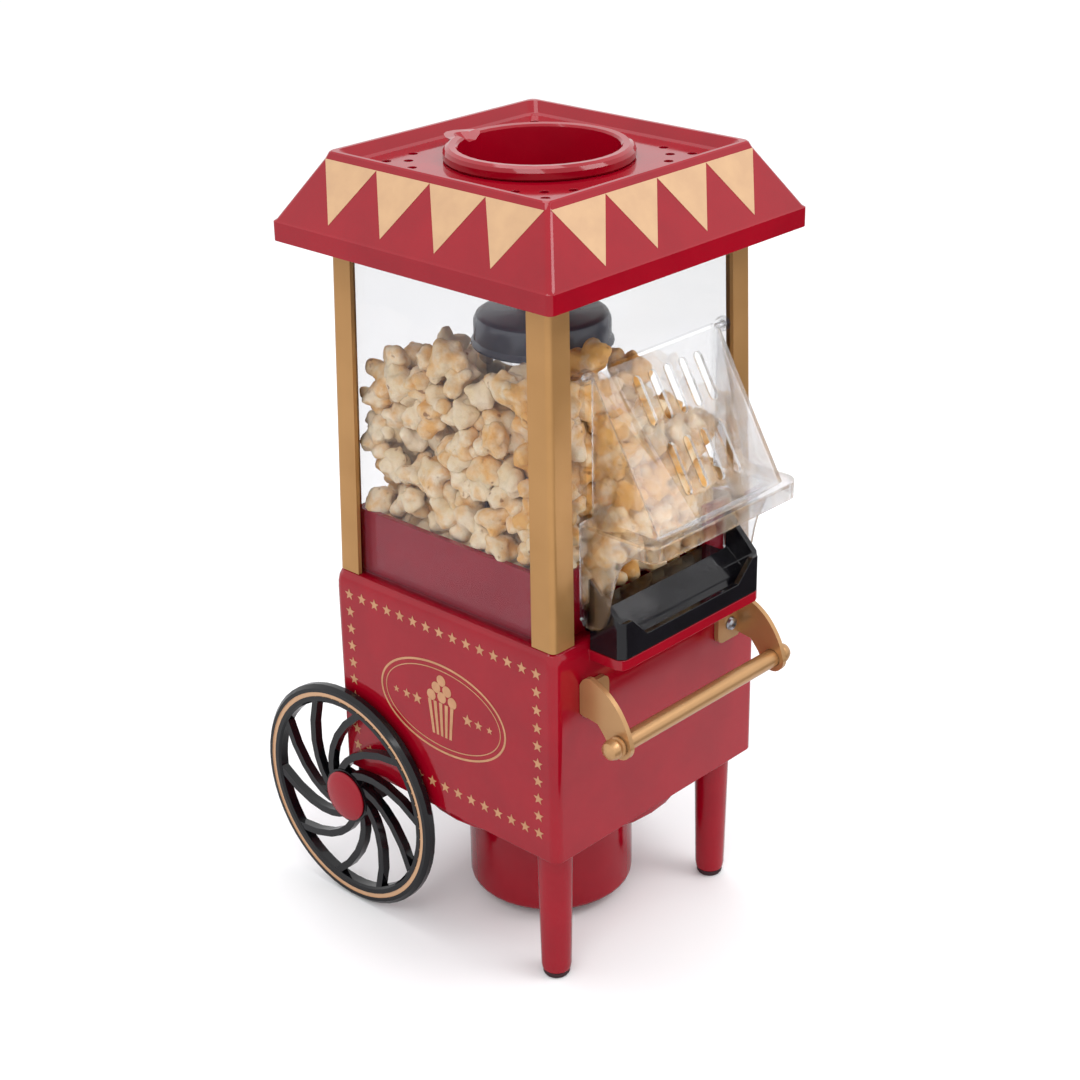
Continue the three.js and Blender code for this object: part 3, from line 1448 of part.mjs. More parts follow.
function cordGland() {
  const face = BASE_HALF_Y + GAP;
  const gland = turnedRing(
    [
      [GLAND_BORE, face - 8],
      [GLAND_RADIUS, face - 8],
      [GLAND_RADIUS, face],
      [GLAND_FLANGE, face],
      [GLAND_FLANGE, face + 1.8],
      [GLAND_RADIUS, face + 3.6],
      [GLAND_BORE, face + 3.6],
    ],
    20,
  );
  return laidY(gland).translate(GLAND_X, 0, GLAND_Z);
}

function electricsAssembly() {
  return assembly(
    "electrics",
    piece("switch_bezel", switchBezel(), BLACK),
    piece("switch_rocker", switchRocker(), BLACK),
    piece("cord_gland", cordGland(), BLACK),
  );
}

// ---------------------------------------------------------------- the whole machine

const popcornMaker = assembly(
  "popcorn_maker",
  baseAssembly(),
  blowerAssembly(),
  poppingAssembly(),
  cabinetAssembly(),
  servingAssembly(),
  roofAssembly(),
  runningGear(),
  handleAssembly(),
  electricsAssembly(),
);

// The overall length runs from the lip of the flap to the back of the wheels.
popcornMaker.position.y = -(LIP_FRONT + AXLE_Y + WHEEL_RADIUS) / 2;

export default popcornMaker;
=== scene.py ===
"""Finishes, printed trim, popped corn and studio for a cart-shaped popcorn maker.

Everything is in metres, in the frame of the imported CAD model: +Z up, the front faces -Y.
"""

from __future__ import annotations

import logging
import math
import random
from dataclasses import dataclass, field
from enum import Enum
from typing import Callable, Sequence

import bmesh
import bpy
import numpy as np
from mathutils import Euler, Matrix, Vector, noise


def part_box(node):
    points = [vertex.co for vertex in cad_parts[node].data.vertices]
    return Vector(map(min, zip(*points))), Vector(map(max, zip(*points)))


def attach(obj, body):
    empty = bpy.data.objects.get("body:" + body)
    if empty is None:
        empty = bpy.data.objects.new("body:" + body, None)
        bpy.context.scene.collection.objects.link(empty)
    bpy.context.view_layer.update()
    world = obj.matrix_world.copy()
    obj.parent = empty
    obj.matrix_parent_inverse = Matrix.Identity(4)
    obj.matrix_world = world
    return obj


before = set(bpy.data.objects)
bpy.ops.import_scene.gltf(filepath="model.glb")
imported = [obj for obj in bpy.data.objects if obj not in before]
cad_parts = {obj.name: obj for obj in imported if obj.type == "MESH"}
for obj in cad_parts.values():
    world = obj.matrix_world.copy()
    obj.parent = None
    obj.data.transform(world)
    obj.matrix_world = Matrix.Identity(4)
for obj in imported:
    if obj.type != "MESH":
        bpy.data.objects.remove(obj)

LOG = logging.getLogger("popcorn_maker")
MM = 0.001
Settings = dict[str | int, object]
Links = dict[str | int, bpy.types.NodeSocket]
Point = tuple[float, float]


class Body(Enum):
    """The rigid bodies of the CAD model that pieces ride on."""

    MACHINE = "machine"
    FLAP = "flap"
    CUP = "cup"
    WHEEL_LEFT = "wheel_left"
    WHEEL_RIGHT = "wheel_right"


class Side(Enum):
    """Left is -X and right is +X."""

    LEFT = -1
    RIGHT = 1


# ------------------------------------------------------------------ node and colour helpers


def linear(hex_colour: str, alpha: float = 1.0) -> tuple[float, float, float, float]:
    """Turns an sRGB hex colour into linear light.

    Args:
        hex_colour: Six hex digits, such as "a50a28".
        alpha: The fourth channel.

    Returns:
        The linear red, green, blue and alpha.
    """
    channels = [int(hex_colour[i : i + 2], 16) / 255 for i in (0, 2, 4)]
    lin = [c / 12.92 if c <= 0.04045 else ((c + 0.055) / 1.055) ** 2.4 for c in channels]
    return (lin[0], lin[1], lin[2], alpha)


def add(
    tree: bpy.types.NodeTree,
    kind: str,
    settings: Settings | None = None,
    links: Links | None = None,
) -> bpy.types.Node:
    """Adds one node with its settings and its incoming links.

    Args:
        tree: The node tree to add to.
        kind: Blender's node type.
        settings: Values by input name or index, or by attribute name.
        links: Output sockets by the input name or index they feed.

    Returns:
        The new node.
    """
    node = tree.nodes.new(kind)
    for key, value in (settings or {}).items():
        if isinstance(key, int) or key in node.inputs:
            node.inputs[key].default_value = value
        else:
            setattr(node, key, value)
    for key, socket in (links or {}).items():
        tree.links.new(socket, node.inputs[key])
    return node


def per_metre(size_mm: float) -> float:
    """Returns the texture scale whose features are about size_mm across."""
    return 1000.0 / size_mm


# ------------------------------------------------------------------ finishes


@dataclass(frozen=True)
class Finish:
    """A surface as it was made: its colour, its gloss, and the slight unevenness both show.

    cloud_mm is the size of the slow changes of colour, ripple_mm that of the slow waves a moulded or
    sprayed skin has, and grain_mm that of its fine texture. Heights are in millimetres.
    """

    name: str
    colour: str
    shade: str
    roughness: float
    metallic: float = 0.0
    ior: float = 1.5
    coat: float = 0.0
    coat_roughness: float = 0.05
    cloud_mm: float = 30.0
    ripple_mm: float = 18.0
    ripple_height: float = 0.02
    grain_mm: float = 1.2
    grain_height: float = 0.004
    uneven: float = 0.05
    stretch: tuple[float, float, float] = (1.0, 1.0, 1.0)

    def shell(self) -> tuple[bpy.types.Material, bpy.types.NodeTree, bpy.types.Node]:
        """Starts the material.

        Returns:
            The material, its node tree and its Principled shader.
        """
        material = bpy.data.materials.new(self.name)
        material.use_nodes = True
        tree = material.node_tree
        shader = tree.nodes["Principled BSDF"]
        shader.inputs["Metallic"].default_value = self.metallic
        shader.inputs["Coat Weight"].default_value = self.coat
        shader.inputs["Coat Roughness"].default_value = self.coat_roughness
        if self.metallic < 0.5:
            shader.inputs["IOR"].default_value = self.ior
        return material, tree, shader

    def place(self, tree: bpy.types.NodeTree) -> bpy.types.NodeSocket:
        """Adds the pattern's coordinates, in metres, stretched where the finish was drawn or brushed."""
        where = add(tree, "ShaderNodeTexCoord")
        mapping = add(
            tree, "ShaderNodeMapping", {"Scale": self.stretch}, {"Vector": where.outputs["Object"]}
        )
        return mapping.outputs["Vector"]

    def tint(self, tree: bpy.types.NodeTree, at: bpy.types.NodeSocket) -> bpy.types.NodeSocket:
        """Adds the colour, drifting slowly between colour and shade.

        Args:
            tree: The node tree to add to.
            at: The coordinates.

        Returns:
            The colour's socket.
        """
        cloud = add(
            tree,
            "ShaderNodeTexNoise",
            {"Scale": per_metre(self.cloud_mm), "Detail": 3.0, "Roughness": 0.55},
            {"Vector": at},
        )
        ramp = add(tree, "ShaderNodeValToRGB", None, {"Fac": cloud.outputs["Fac"]})
        ramp.color_ramp.elements[0].position = 0.35
        ramp.color_ramp.elements[0].color = linear(self.shade)
        ramp.color_ramp.elements[1].position = 0.65
        ramp.color_ramp.elements[1].color = linear(self.colour)
        return ramp.outputs["Color"]

    def gloss(self, tree: bpy.types.NodeTree, at: bpy.types.NodeSocket) -> bpy.types.NodeSocket:
        """Adds the roughness, uneven by a little where hands and moulds leave their traces."""
        smear = add(
            tree,
            "ShaderNodeTexNoise",
            {"Scale": per_metre(self.cloud_mm * 0.4), "Detail": 4.0},
            {"Vector": at},
        )
        spread = add(
            tree,
            "ShaderNodeMapRange",
            {
                "From Min": 0.3,
                "From Max": 0.7,
                "To Min": max(0.02, self.roughness - self.uneven),
                "To Max": self.roughness + self.uneven,
            },
            {"Value": smear.outputs["Fac"]},
        )
        return spread.outputs["Result"]

    def relief(self, tree: bpy.types.NodeTree, at: bpy.types.NodeSocket) -> bpy.types.NodeSocket:
        """Adds the slow ripple and the fine grain of the skin.

        Args:
            tree: The node tree to add to.
            at: The coordinates.

        Returns:
            The normal's socket.
        """
        ripple = add(
            tree,
            "ShaderNodeTexNoise",
            {"Scale": per_metre(self.ripple_mm), "Detail": 1.0},
            {"Vector": at},
        )
        grain = add(
            tree,
            "ShaderNodeTexNoise",
            {"Scale": per_metre(self.grain_mm), "Detail": 3.0},
            {"Vector": at},
        )
        slow = add(
            tree,
            "ShaderNodeBump",
            {"Strength": 1.0, "Distance": self.ripple_height * MM},
            {"Height": ripple.outputs["Fac"]},
        )
        fine = add(
            tree,
            "ShaderNodeBump",
            {"Strength": 1.0, "Distance": self.grain_height * MM},
            {"Height": grain.outputs["Fac"], "Normal": slow.outputs["Normal"]},
        )
        return fine.outputs["Normal"]

    def build(self) -> bpy.types.Material:
        """Builds the material."""
        material, tree, shader = self.shell()
        at = self.place(tree)
        tree.links.new(self.tint(tree, at), shader.inputs["Base Color"])
        tree.links.new(self.gloss(tree, at), shader.inputs["Roughness"])
        tree.links.new(self.relief(tree, at), shader.inputs["Normal"])
        return material


@dataclass(frozen=True)
class PolishedAcrylic(Finish):
    """Clear moulded sheet: nearly invisible face on, mirror-like where it is seen at a glancing angle.

    It is one mirror film whose cover follows the glancing angle, so lamps light what stands behind it.
    """

    face_on: float = 0.08
    glancing: float = 0.85

    def build(self) -> bpy.types.Material:
        """Builds the material."""
        material, tree, shader = self.shell()
        at = self.place(tree)
        tree.links.new(self.tint(tree, at), shader.inputs["Base Color"])
        tree.links.new(self.gloss(tree, at), shader.inputs["Roughness"])
        tree.links.new(self.relief(tree, at), shader.inputs["Normal"])
        facing = add(tree, "ShaderNodeLayerWeight", {"Blend": 0.5})
        steep = add(
            tree, "ShaderNodeMath", {"operation": "POWER", 1: 4.0}, {0: facing.outputs["Facing"]}
        )
        cover = add(
            tree,
            "ShaderNodeMapRange",
            {"To Min": self.face_on, "To Max": self.glancing},
            {"Value": steep.outputs["Value"]},
        )
        tree.links.new(cover.outputs["Result"], shader.inputs["Alpha"])
        return material


@dataclass(frozen=True)
class ClearMoulding(Finish):
    """Thick clear plastic that refracts: bright and dark lines at every edge, little else to see."""

    def build(self) -> bpy.types.Material:
        """Builds the material."""
        material, tree, shader = self.shell()
        at = self.place(tree)
        tree.links.new(self.tint(tree, at), shader.inputs["Base Color"])
        tree.links.new(self.gloss(tree, at), shader.inputs["Roughness"])
        tree.links.new(self.relief(tree, at), shader.inputs["Normal"])
        shader.inputs["Transmission Weight"].default_value = 1.0
        shader.inputs["Alpha"].default_value = 0.56
        return material


@dataclass(frozen=True)
class LinedLacquer(Finish):
    """Black moulded wheel with a gold line rubbed into the groove of its rim."""

    line: str = "be9673"
    line_inner: float = 53.9
    line_outer: float = 56.1
    centre: tuple[float, float, float] = (0.0, 0.0, 0.0)
    face: float = 0.0803

    def build(self) -> bpy.types.Material:
        """Builds the material, with the line where the groove lies."""
        material, tree, shader = self.shell()
        at = self.place(tree)
        where = add(tree, "ShaderNodeTexCoord")
        offset = add(
            tree,
            "ShaderNodeVectorMath",
            {"operation": "SUBTRACT", 1: (0.0, self.centre[1], self.centre[2])},
            {0: where.outputs["Object"]},
        )
        flat = add(
            tree,
            "ShaderNodeVectorMath",
            {"operation": "MULTIPLY", 1: (0.0, 1.0, 1.0)},
            {0: offset.outputs["Vector"]},
        )
        radius = add(
            tree, "ShaderNodeVectorMath", {"operation": "LENGTH"}, {0: flat.outputs["Vector"]}
        )
        middle = (self.line_inner + self.line_outer) / 2 * MM
        half = (self.line_outer - self.line_inner) / 2 * MM
        in_groove = add(
            tree,
            "ShaderNodeMath",
            {"operation": "COMPARE", 1: middle, 2: half * 1.02},
            {0: radius.outputs["Value"]},
        )
        parts = add(tree, "ShaderNodeSeparateXYZ", None, {"Vector": where.outputs["Object"]})
        width = add(tree, "ShaderNodeMath", {"operation": "ABSOLUTE"}, {0: parts.outputs["X"]})
        outside = add(
            tree,
            "ShaderNodeMath",
            {"operation": "GREATER_THAN", 1: self.face},
            {0: width.outputs["Value"]},
        )
        both = add(
            tree,
            "ShaderNodeMath",
            {"operation": "MULTIPLY"},
            {0: in_groove.outputs["Value"], 1: outside.outputs["Value"]},
        )
        mixed = add(
            tree,
            "ShaderNodeMix",
            {"data_type": "RGBA", 7: linear(self.line)},
            {0: both.outputs["Value"], 6: self.tint(tree, at)},
        )
        tree.links.new(mixed.outputs[2], shader.inputs["Base Color"])
        tree.links.new(self.gloss(tree, at), shader.inputs["Roughness"])
        tree.links.new(self.relief(tree, at), shader.inputs["Normal"])
        return material


@dataclass(frozen=True)
class PoppedCorn(Finish):
    """Popped kernels: dry cream foam, buttered yellow in places, with scraps of brown hull."""

    butter: str = "dda452"
    hull: str = "7a4620"

    def build(self) -> bpy.types.Material:
        """Builds the material."""
        material, tree, shader = self.shell()
        at = self.place(tree)
        tone = add(tree, "ShaderNodeAttribute", {"attribute_name": "tone"})
        patch = add(
            tree,
            "ShaderNodeTexNoise",
            {"Scale": per_metre(9.0), "Detail": 3.0, "Roughness": 0.6},
            {"Vector": at},
        )
        lifted = add(
            tree,
            "ShaderNodeMath",
            {"operation": "ADD"},
            {0: patch.outputs["Fac"], 1: tone.outputs["Fac"]},
        )
        butter = add(
            tree,
            "ShaderNodeMapRange",
            {"From Min": 0.46, "From Max": 0.74, "To Max": 0.9},
            {"Value": lifted.outputs["Value"]},
        )
        buttered = add(
            tree,
            "ShaderNodeMix",
            {"data_type": "RGBA", 7: linear(self.butter)},
            {0: butter.outputs["Result"], 6: self.tint(tree, at)},
        )
        scrap = add(
            tree,
            "ShaderNodeTexNoise",
            {"Scale": per_metre(5.5), "Detail": 2.0},
            {"Vector": at},
        )
        hull = add(
            tree,
            "ShaderNodeMapRange",
            {"From Min": 0.66, "From Max": 0.73, "To Max": 0.75},
            {"Value": scrap.outputs["Fac"]},
        )
        coloured = add(
            tree,
            "ShaderNodeMix",
            {"data_type": "RGBA", 7: linear(self.hull)},
            {0: hull.outputs["Result"], 6: buttered.outputs[2]},
        )
        tree.links.new(coloured.outputs[2], shader.inputs["Base Color"])
        tree.links.new(self.gloss(tree, at), shader.inputs["Roughness"])
        tree.links.new(self.relief(tree, at), shader.inputs["Normal"])
        shader.inputs["Subsurface Weight"].default_value = 0.25
        shader.inputs["Subsurface Radius"].default_value = (0.004, 0.003, 0.002)
        shader.inputs["Subsurface Scale"].default_value = 0.5
        return material


# ABS moulded in a polished tool: saturated, wet-looking, with very slow waves in its reflections.
RED_ABS = Finish(
    name="moulded_red_abs",
    colour="900319",
    shade="870217",
    roughness=0.09,
    ior=1.47,
    ripple_mm=24.0,
    ripple_height=0.012,
    grain_height=0.001,
    uneven=0.03,
)
# Sprayed gold on moulded angle strips: a soft metallic sheen with visible flake.
GOLD_SPRAY = Finish(
    name="sprayed_gold_strip",
    colour="b98b56",
    shade="af824e",
    roughness=0.34,
    metallic=0.55,
    grain_mm=0.7,
    grain_height=0.006,
    cloud_mm=45.0,
)
# Gold lacquer over pressed steel: the same colour, a little smoother than the strips.
GOLD_LACQUER = Finish(
    name="gold_lacquered_steel",
    colour="bb9062",
    shade="b58a5b",
    roughness=0.32,
    metallic=0.6,
    coat=0.2,
    coat_roughness=0.15,
    uneven=0.02,
    grain_mm=0.6,
    grain_height=0.0015,
)
# Flat gold screen-printing ink: matt, slightly blotchy, no metal in it.
GOLD_INK = Finish(
    name="printed_gold_ink",
    colour="c29c75",
    shade="ba9470",
    roughness=0.42,
    grain_mm=0.5,
    grain_height=0.003,
    cloud_mm=12.0,
)
# The smaller print on the housing uses a redder, thinner ink.
STAR_INK = Finish(
    name="printed_star_ink",
    colour="b8865f",
    shade="ac7a54",
    roughness=0.4,
    grain_mm=0.4,
    grain_height=0.002,
    cloud_mm=6.0,
)
# Black ABS from a polished tool: near-black with crisp highlights.
BLACK_ABS = Finish(
    name="moulded_black_abs",
    colour="100f14",
    shade="0a090d",
    roughness=0.1,
    ior=1.45,
    ripple_height=0.03,
)
# Spark-textured black nylon: dull, with a fine even grain.
BLACK_NYLON = Finish(
    name="textured_black_nylon",
    colour="1b1b1e",
    shade="141417",
    roughness=0.55,
    grain_mm=0.8,
    grain_height=0.03,
)
# Heat-resistant moulding compound: slate grey, half gloss.
SLATE_PHENOLIC = Finish(
    name="moulded_slate_phenolic",
    colour="565a66",
    shade="4a4e59",
    roughness=0.22,
    ior=1.6,
    grain_mm=1.0,
    grain_height=0.01,
)
# Moulded rubber foot: matt, faintly dusty, dark with a little of the housing's red in it.
RUBBER = Finish(
    name="moulded_rubber",
    colour="2c0f15",
    shade="331319",
    roughness=0.8,
    ior=1.52,
    grain_mm=0.9,
    grain_height=0.04,
)
# Zinc-plated steel: cool grey, finely brushed.
ZINC_STEEL = Finish(
    name="zinc_plated_steel",
    colour="b9bcc2",
    shade="9da1a8",
    roughness=0.3,
    metallic=1.0,
    grain_mm=1.5,
    grain_height=0.01,
    stretch=(1.0, 1.0, 8.0),
)
# Deep-drawn aluminium: bright, with long draw marks up the wall.
DRAWN_ALUMINIUM = Finish(
    name="drawn_aluminium",
    colour="cfd1d4",
    shade="b4b7bb",
    roughness=0.28,
    metallic=1.0,
    grain_mm=2.0,
    grain_height=0.012,
    stretch=(6.0, 6.0, 0.6),
)
# Pressed mica sheet: pale brown with silvery flecks.
MICA = Finish(
    name="pressed_mica_sheet",
    colour="b9ab8c",
    shade="8f8266",
    roughness=0.45,
    cloud_mm=3.0,
    grain_height=0.03,
)
# Glass-fibre circuit board under green solder mask.
SOLDER_MASK = Finish(
    name="green_solder_mask",
    colour="2b6a44",
    shade="1f5234",
    roughness=0.3,
    cloud_mm=4.0,
    grain_height=0.02,
)
ACRYLIC = PolishedAcrylic(
    name="polished_clear_acrylic",
    colour="8c8c98",
    shade="82828e",
    roughness=0.05,
    metallic=1.0,
    uneven=0.02,
    ripple_mm=35.0,
    ripple_height=0.05,
    grain_height=0.0,
)
# The thicker moulded flap bends what is behind it, so its edges and slots show as bright and dark lines.
FLAP_ACRYLIC = ClearMoulding(
    name="moulded_clear_flap",
    colour="fafafc",
    shade="f5f5f8",
    roughness=0.03,
    ior=1.49,
    uneven=0.01,
    ripple_mm=25.0,
    ripple_height=0.03,
    grain_height=0.0,
)
POPCORN = PoppedCorn(
    name="popped_corn",
    colour="ecdcc2",
    shade="dfc8a2",
    roughness=0.75,
    ior=1.45,
    cloud_mm=14.0,
    ripple_mm=3.0,
    ripple_height=0.5,
    grain_mm=1.2,
    grain_height=0.2,
    uneven=0.1,
)
# White sweep: matt, with a hint of unevenness.
SWEEP = Finish(
    name="matt_white_sweep",
    colour="f7f7f8",
    shade="f3f3f5",
    roughness=0.7,
    cloud_mm=400.0,
    ripple_height=0.0,
    grain_height=0.0,
)


# ------------------------------------------------------------------ mesh helpers


def dress(node: str, material: bpy.types.Material) -> bpy.types.Object:
    """Gives a CAD node its finish.

    Args:
        node: The node's name.
        material: Its material.

    Returns:
        The node's object.
    """
    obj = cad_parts[node]
    obj.data.materials.clear()
    obj.data.materials.append(material)
    return obj


def soften(obj: bpy.types.Object, radius_mm: float, angle: float = 32.0) -> None:
    """Rounds a node's sharp edges a little, as a mould or a press leaves them.

    Args:
        obj: The node's object.
        radius_mm: The edge radius; none leaves the edges crisp.
        angle: Edges flatter than this, in degrees, stay smooth.
    """
    mesh = obj.data
    if "custom_normal" in mesh.attributes:
        mesh.attributes.remove(mesh.attributes["custom_normal"])
    mesh.shade_smooth()
    weld = obj.modifiers.new("weld", "WELD")
    weld.merge_threshold = 0.00002
    if radius_mm > 0:
        bevel = obj.modifiers.new("edges", "BEVEL")
        bevel.width = radius_mm * MM
        bevel.segments = 2
        bevel.limit_method = "ANGLE"
        bevel.angle_limit = math.radians(angle)
        bevel.use_clamp_overlap = True
        bevel.harden_normals = True
    split = obj.modifiers.new("crisp", "EDGE_SPLIT")
    split.split_angle = math.radians(angle if radius_mm == 0 else 50.0)
    flats = obj.modifiers.new("flats", "WEIGHTED_NORMAL")
    flats.weight = 100
    flats.keep_sharp = True


def new_piece(
    name: str, mesh: bpy.types.Mesh, material: bpy.types.Material, body: Body
) -> bpy.types.Object:
    """Makes a piece from a mesh and lets it ride on a body.

    Args:
        name: The piece's name.
        mesh: Its mesh, in the CAD frame.
        material: Its material.
        body: The body it rides on.

    Returns:
        The new object.
    """
    obj = bpy.data.objects.new(name, mesh)
    bpy.context.scene.collection.objects.link(obj)
    mesh.materials.append(material)
    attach(obj, body.value)
    LOG.info("piece %s on %s, %d faces", name, body.value, len(mesh.polygons))
    return obj


def plates_mesh(
    name: str, outlines: Sequence[Sequence[Point]], place: Matrix, thick_mm: float = 0.12
) -> bpy.types.Mesh:
    """Builds thin flat plates from outlines, as a print or a film lies on a surface.

    Args:
        name: The mesh's name.
        outlines: Closed outlines in the plane's own metres, counter-clockwise.
        place: Carries the plane's x and y, and z outwards, into the CAD frame.
        thick_mm: The plates' thickness.

    Returns:
        The mesh.
    """
    bm = bmesh.new()
    for outline in outlines:
        base = [bm.verts.new((x, y, 0.0)) for x, y in outline]
        top = [bm.verts.new((x, y, thick_mm * MM)) for x, y in outline]
        bm.faces.new(top)
        bm.faces.new(list(reversed(base)))
        for i, _ in enumerate(base):
            j = (i + 1) % len(base)
            bm.faces.new((base[i], base[j], top[j], top[i]))
    bm.transform(place)
    bmesh.ops.recalc_face_normals(bm, faces=bm.faces)
    mesh = bpy.data.meshes.new(name)
    bm.to_mesh(mesh)
    bm.free()
    return mesh


def plane(origin: Vector, along: Vector, up: Vector) -> Matrix:
    """Returns the matrix of a plane: x runs along, y runs up, z runs outwards."""
    x, y = along.normalized(), up.normalized()
    out = x.cross(y)
    matrix = Matrix((x, y, out)).transposed().to_4x4()
    matrix.translation = origin
    return matrix


def star(x: float, y: float, radius: float) -> list[Point]:
    """Returns the outline of a five-point star, standing on two points."""
    points = []
    for i in range(10):
        angle = math.radians(90 + 36 * i)
        r = radius if i % 2 == 0 else radius * 0.42
        points.append((x + r * math.cos(angle), y + r * math.sin(angle)))
    return points


def ring_band(
    cx: float, cy: float, rx: float, ry: float, width: float, count: int = 72
) -> list[list[Point]]:
    """Returns the outlines of the short plates that make up an oval line."""
    plates = []
    for i in range(count):
        a, b = (2 * math.pi * (i + k) / count for k in (0, 1))
        plates.append(
            [
                (cx + rx * math.cos(a), cy + ry * math.sin(a)),
                (cx + (rx + width) * math.cos(a), cy + (ry + width) * math.sin(a)),
                (cx + (rx + width) * math.cos(b), cy + (ry + width) * math.sin(b)),
                (cx + rx * math.cos(b), cy + ry * math.sin(b)),
            ]
        )
    return plates


def disc(cx: float, cy: float, radius: float, count: int = 18) -> list[Point]:
    """Returns the outline of a disc."""
    return [
        (cx + radius * math.cos(2 * math.pi * i / count), cy + radius * math.sin(2 * math.pi * i / count))
        for i in range(count)
    ]


# ------------------------------------------------------------------ sub-assemblies


@dataclass
class Housing:
    """The red base box with its printed border of stars and an oval ornament on each side."""

    red: bpy.types.Material
    ink: bpy.types.Material
    black: bpy.types.Material
    steel: bpy.types.Material
    star_radius: float = 3.1 * MM
    top_row: float = 171.8 * MM
    bottom_row: float = 88.0 * MM
    row_half: float = 62.0 * MM
    stars_along: int = 15
    stars_up: int = 8
    lift: float = 0.04 * MM

    def dress_nodes(self) -> None:
        """Finishes the CAD nodes of the base."""
        soften(dress("base_housing", self.red), 0.5)
        soften(dress("base_plate", self.black), 0.3)
        for i in range(4):
            soften(dress(f"base_screw_{i + 1}", self.steel), 0.0)

    def face(self, side: Side) -> Matrix:
        """Returns the plane of one side face, its origin at floor height on the housing's middle."""
        low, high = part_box("post_front_left")[0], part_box("post_rear_left")[1]
        middle = (low.y + high.y) / 2
        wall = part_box("base_housing")[0 if side is Side.LEFT else 1].x
        origin = Vector((wall + side.value * self.lift, middle, 0.0))
        return plane(origin, Vector((0.0, side.value, 0.0)), Vector((0.0, 0.0, 1.0)))

    def border(self) -> list[list[Point]]:
        """Returns the outlines of the stars round the edge of a side face."""
        step = 2 * self.row_half / (self.stars_along - 1)
        rows = [-self.row_half + step * i for i in range(self.stars_along)]
        stars = [star(y, z, self.star_radius) for z in (self.top_row, self.bottom_row) for y in rows]
        rise = (self.top_row - self.bottom_row) / (self.stars_up + 1)
        for i in range(self.stars_up):
            z = self.bottom_row + rise * (i + 1)
            stars += [star(y, z, self.star_radius) for y in (-self.row_half, self.row_half)]
        return stars

    def ornament(self) -> list[list[Point]]:
        """Returns the outlines of a plain ornament: an oval round a tub of popped corn."""
        cx, cy = 0.0, 131.0 * MM
        shapes = ring_band(cx, cy, 41 * MM, 23 * MM, 1.1 * MM)
        shapes += ring_band(cx, cy, 38.2 * MM, 20.4 * MM, 0.5 * MM)
        stripes = 5
        for i in range(stripes):
            low = [(-7.0 + 14.0 * (i + k) / stripes) * MM for k in (0.0, 0.55)]
            high = [v * 1.35 for v in low]
            shapes.append(
                [
                    (cx + low[0], cy - 15 * MM),
                    (cx + low[1], cy - 15 * MM),
                    (cx + high[1], cy + 3 * MM),
                    (cx + high[0], cy + 3 * MM),
                ]
            )
        puffs = [(-7.0, 5.6), (0.0, 6.2), (7.0, 5.6), (-3.6, 10.6), (3.6, 10.6), (0.0, 15.2)]
        shapes += [disc(cx + x * MM, cy + y * MM, 2.9 * MM) for x, y in puffs]
        for side in (-1, 1):
            for i in range(3):
                reach = (17.0 + 7.2 * i) * MM * side
                shapes.append(star(cx + reach, cy, (3.4 - 0.7 * i) * MM))
        return shapes

    def print_sides(self) -> None:
        """Prints the border and the ornament on both side faces."""
        for side in Side:
            mesh = plates_mesh(f"star_border_{side.name.lower()}", self.border(), self.face(side))
            new_piece(mesh.name, mesh, self.ink, Body.MACHINE)
            mesh = plates_mesh(f"side_ornament_{side.name.lower()}", self.ornament(), self.face(side))
            new_piece(mesh.name, mesh, self.ink, Body.MACHINE)


@dataclass
class Roof:
    """The canopy with its row of printed pennants on each slope, and the measuring cup."""

    red: bpy.types.Material
    ink: bpy.types.Material
    pennants: int = 4
    row_half: float = 66.6 * MM
    eave_inset: float = 1.2 * MM
    slope_rise: float = 27.4 * MM
    rim_height: float = 3.0 * MM
    rim_half: float = 68.4 * MM
    pennant_drop: float = 29.0 * MM
    pennant_hem: float = 0.3 * MM
    print_lift: float = 0.05 * MM

    def dress_nodes(self) -> None:
        """Finishes the CAD nodes of the roof."""
        soften(dress("roof", self.red), 0.6, 20.0)
        soften(dress("measuring_cup", self.red), 0.25, 28.0)

    def slope(self, turn: float) -> Matrix:
        """Returns the plane of one slope, its origin at the middle of the slope's upper edge.

        Args:
            turn: The side, in quarter turns from the front.

        Returns:
            The plane, with y pointing up the slope.
        """
        low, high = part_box("roof")
        centre = (low + high) / 2
        half = (high.y - low.y) / 2 if turn % 2 == 0 else (high.x - low.x) / 2
        top = high.z - self.rim_height
        upper = Vector((0.0, -self.rim_half, top))
        lower = Vector((0.0, -(half - self.eave_inset), top - self.slope_rise))
        up = (upper - lower).normalized()
        origin = upper + Vector((0.0, -up.z, up.y)) * self.print_lift
        spin = Matrix.Rotation(turn * math.pi / 2, 4, "Z")
        middle = Matrix.Translation((centre.x, centre.y, 0.0))
        return middle @ spin @ plane(origin, Vector((1.0, 0.0, 0.0)), up)

    def print_pennants(self) -> None:
        """Prints a row of hanging triangles on each of the four slopes."""
        width = 2 * self.row_half / self.pennants
        triangles = []
        for i in range(self.pennants):
            left = -self.row_half + width * i
            tip = (left + width / 2, -self.pennant_drop)
            triangles.append([(left, -self.pennant_hem), tip, (left + width, -self.pennant_hem)])
        for turn, name in enumerate(("front", "right", "rear", "left")):
            mesh = plates_mesh(f"pennants_{name}", triangles, self.slope(turn), 0.1)
            new_piece(mesh.name, mesh, self.ink, Body.MACHINE)


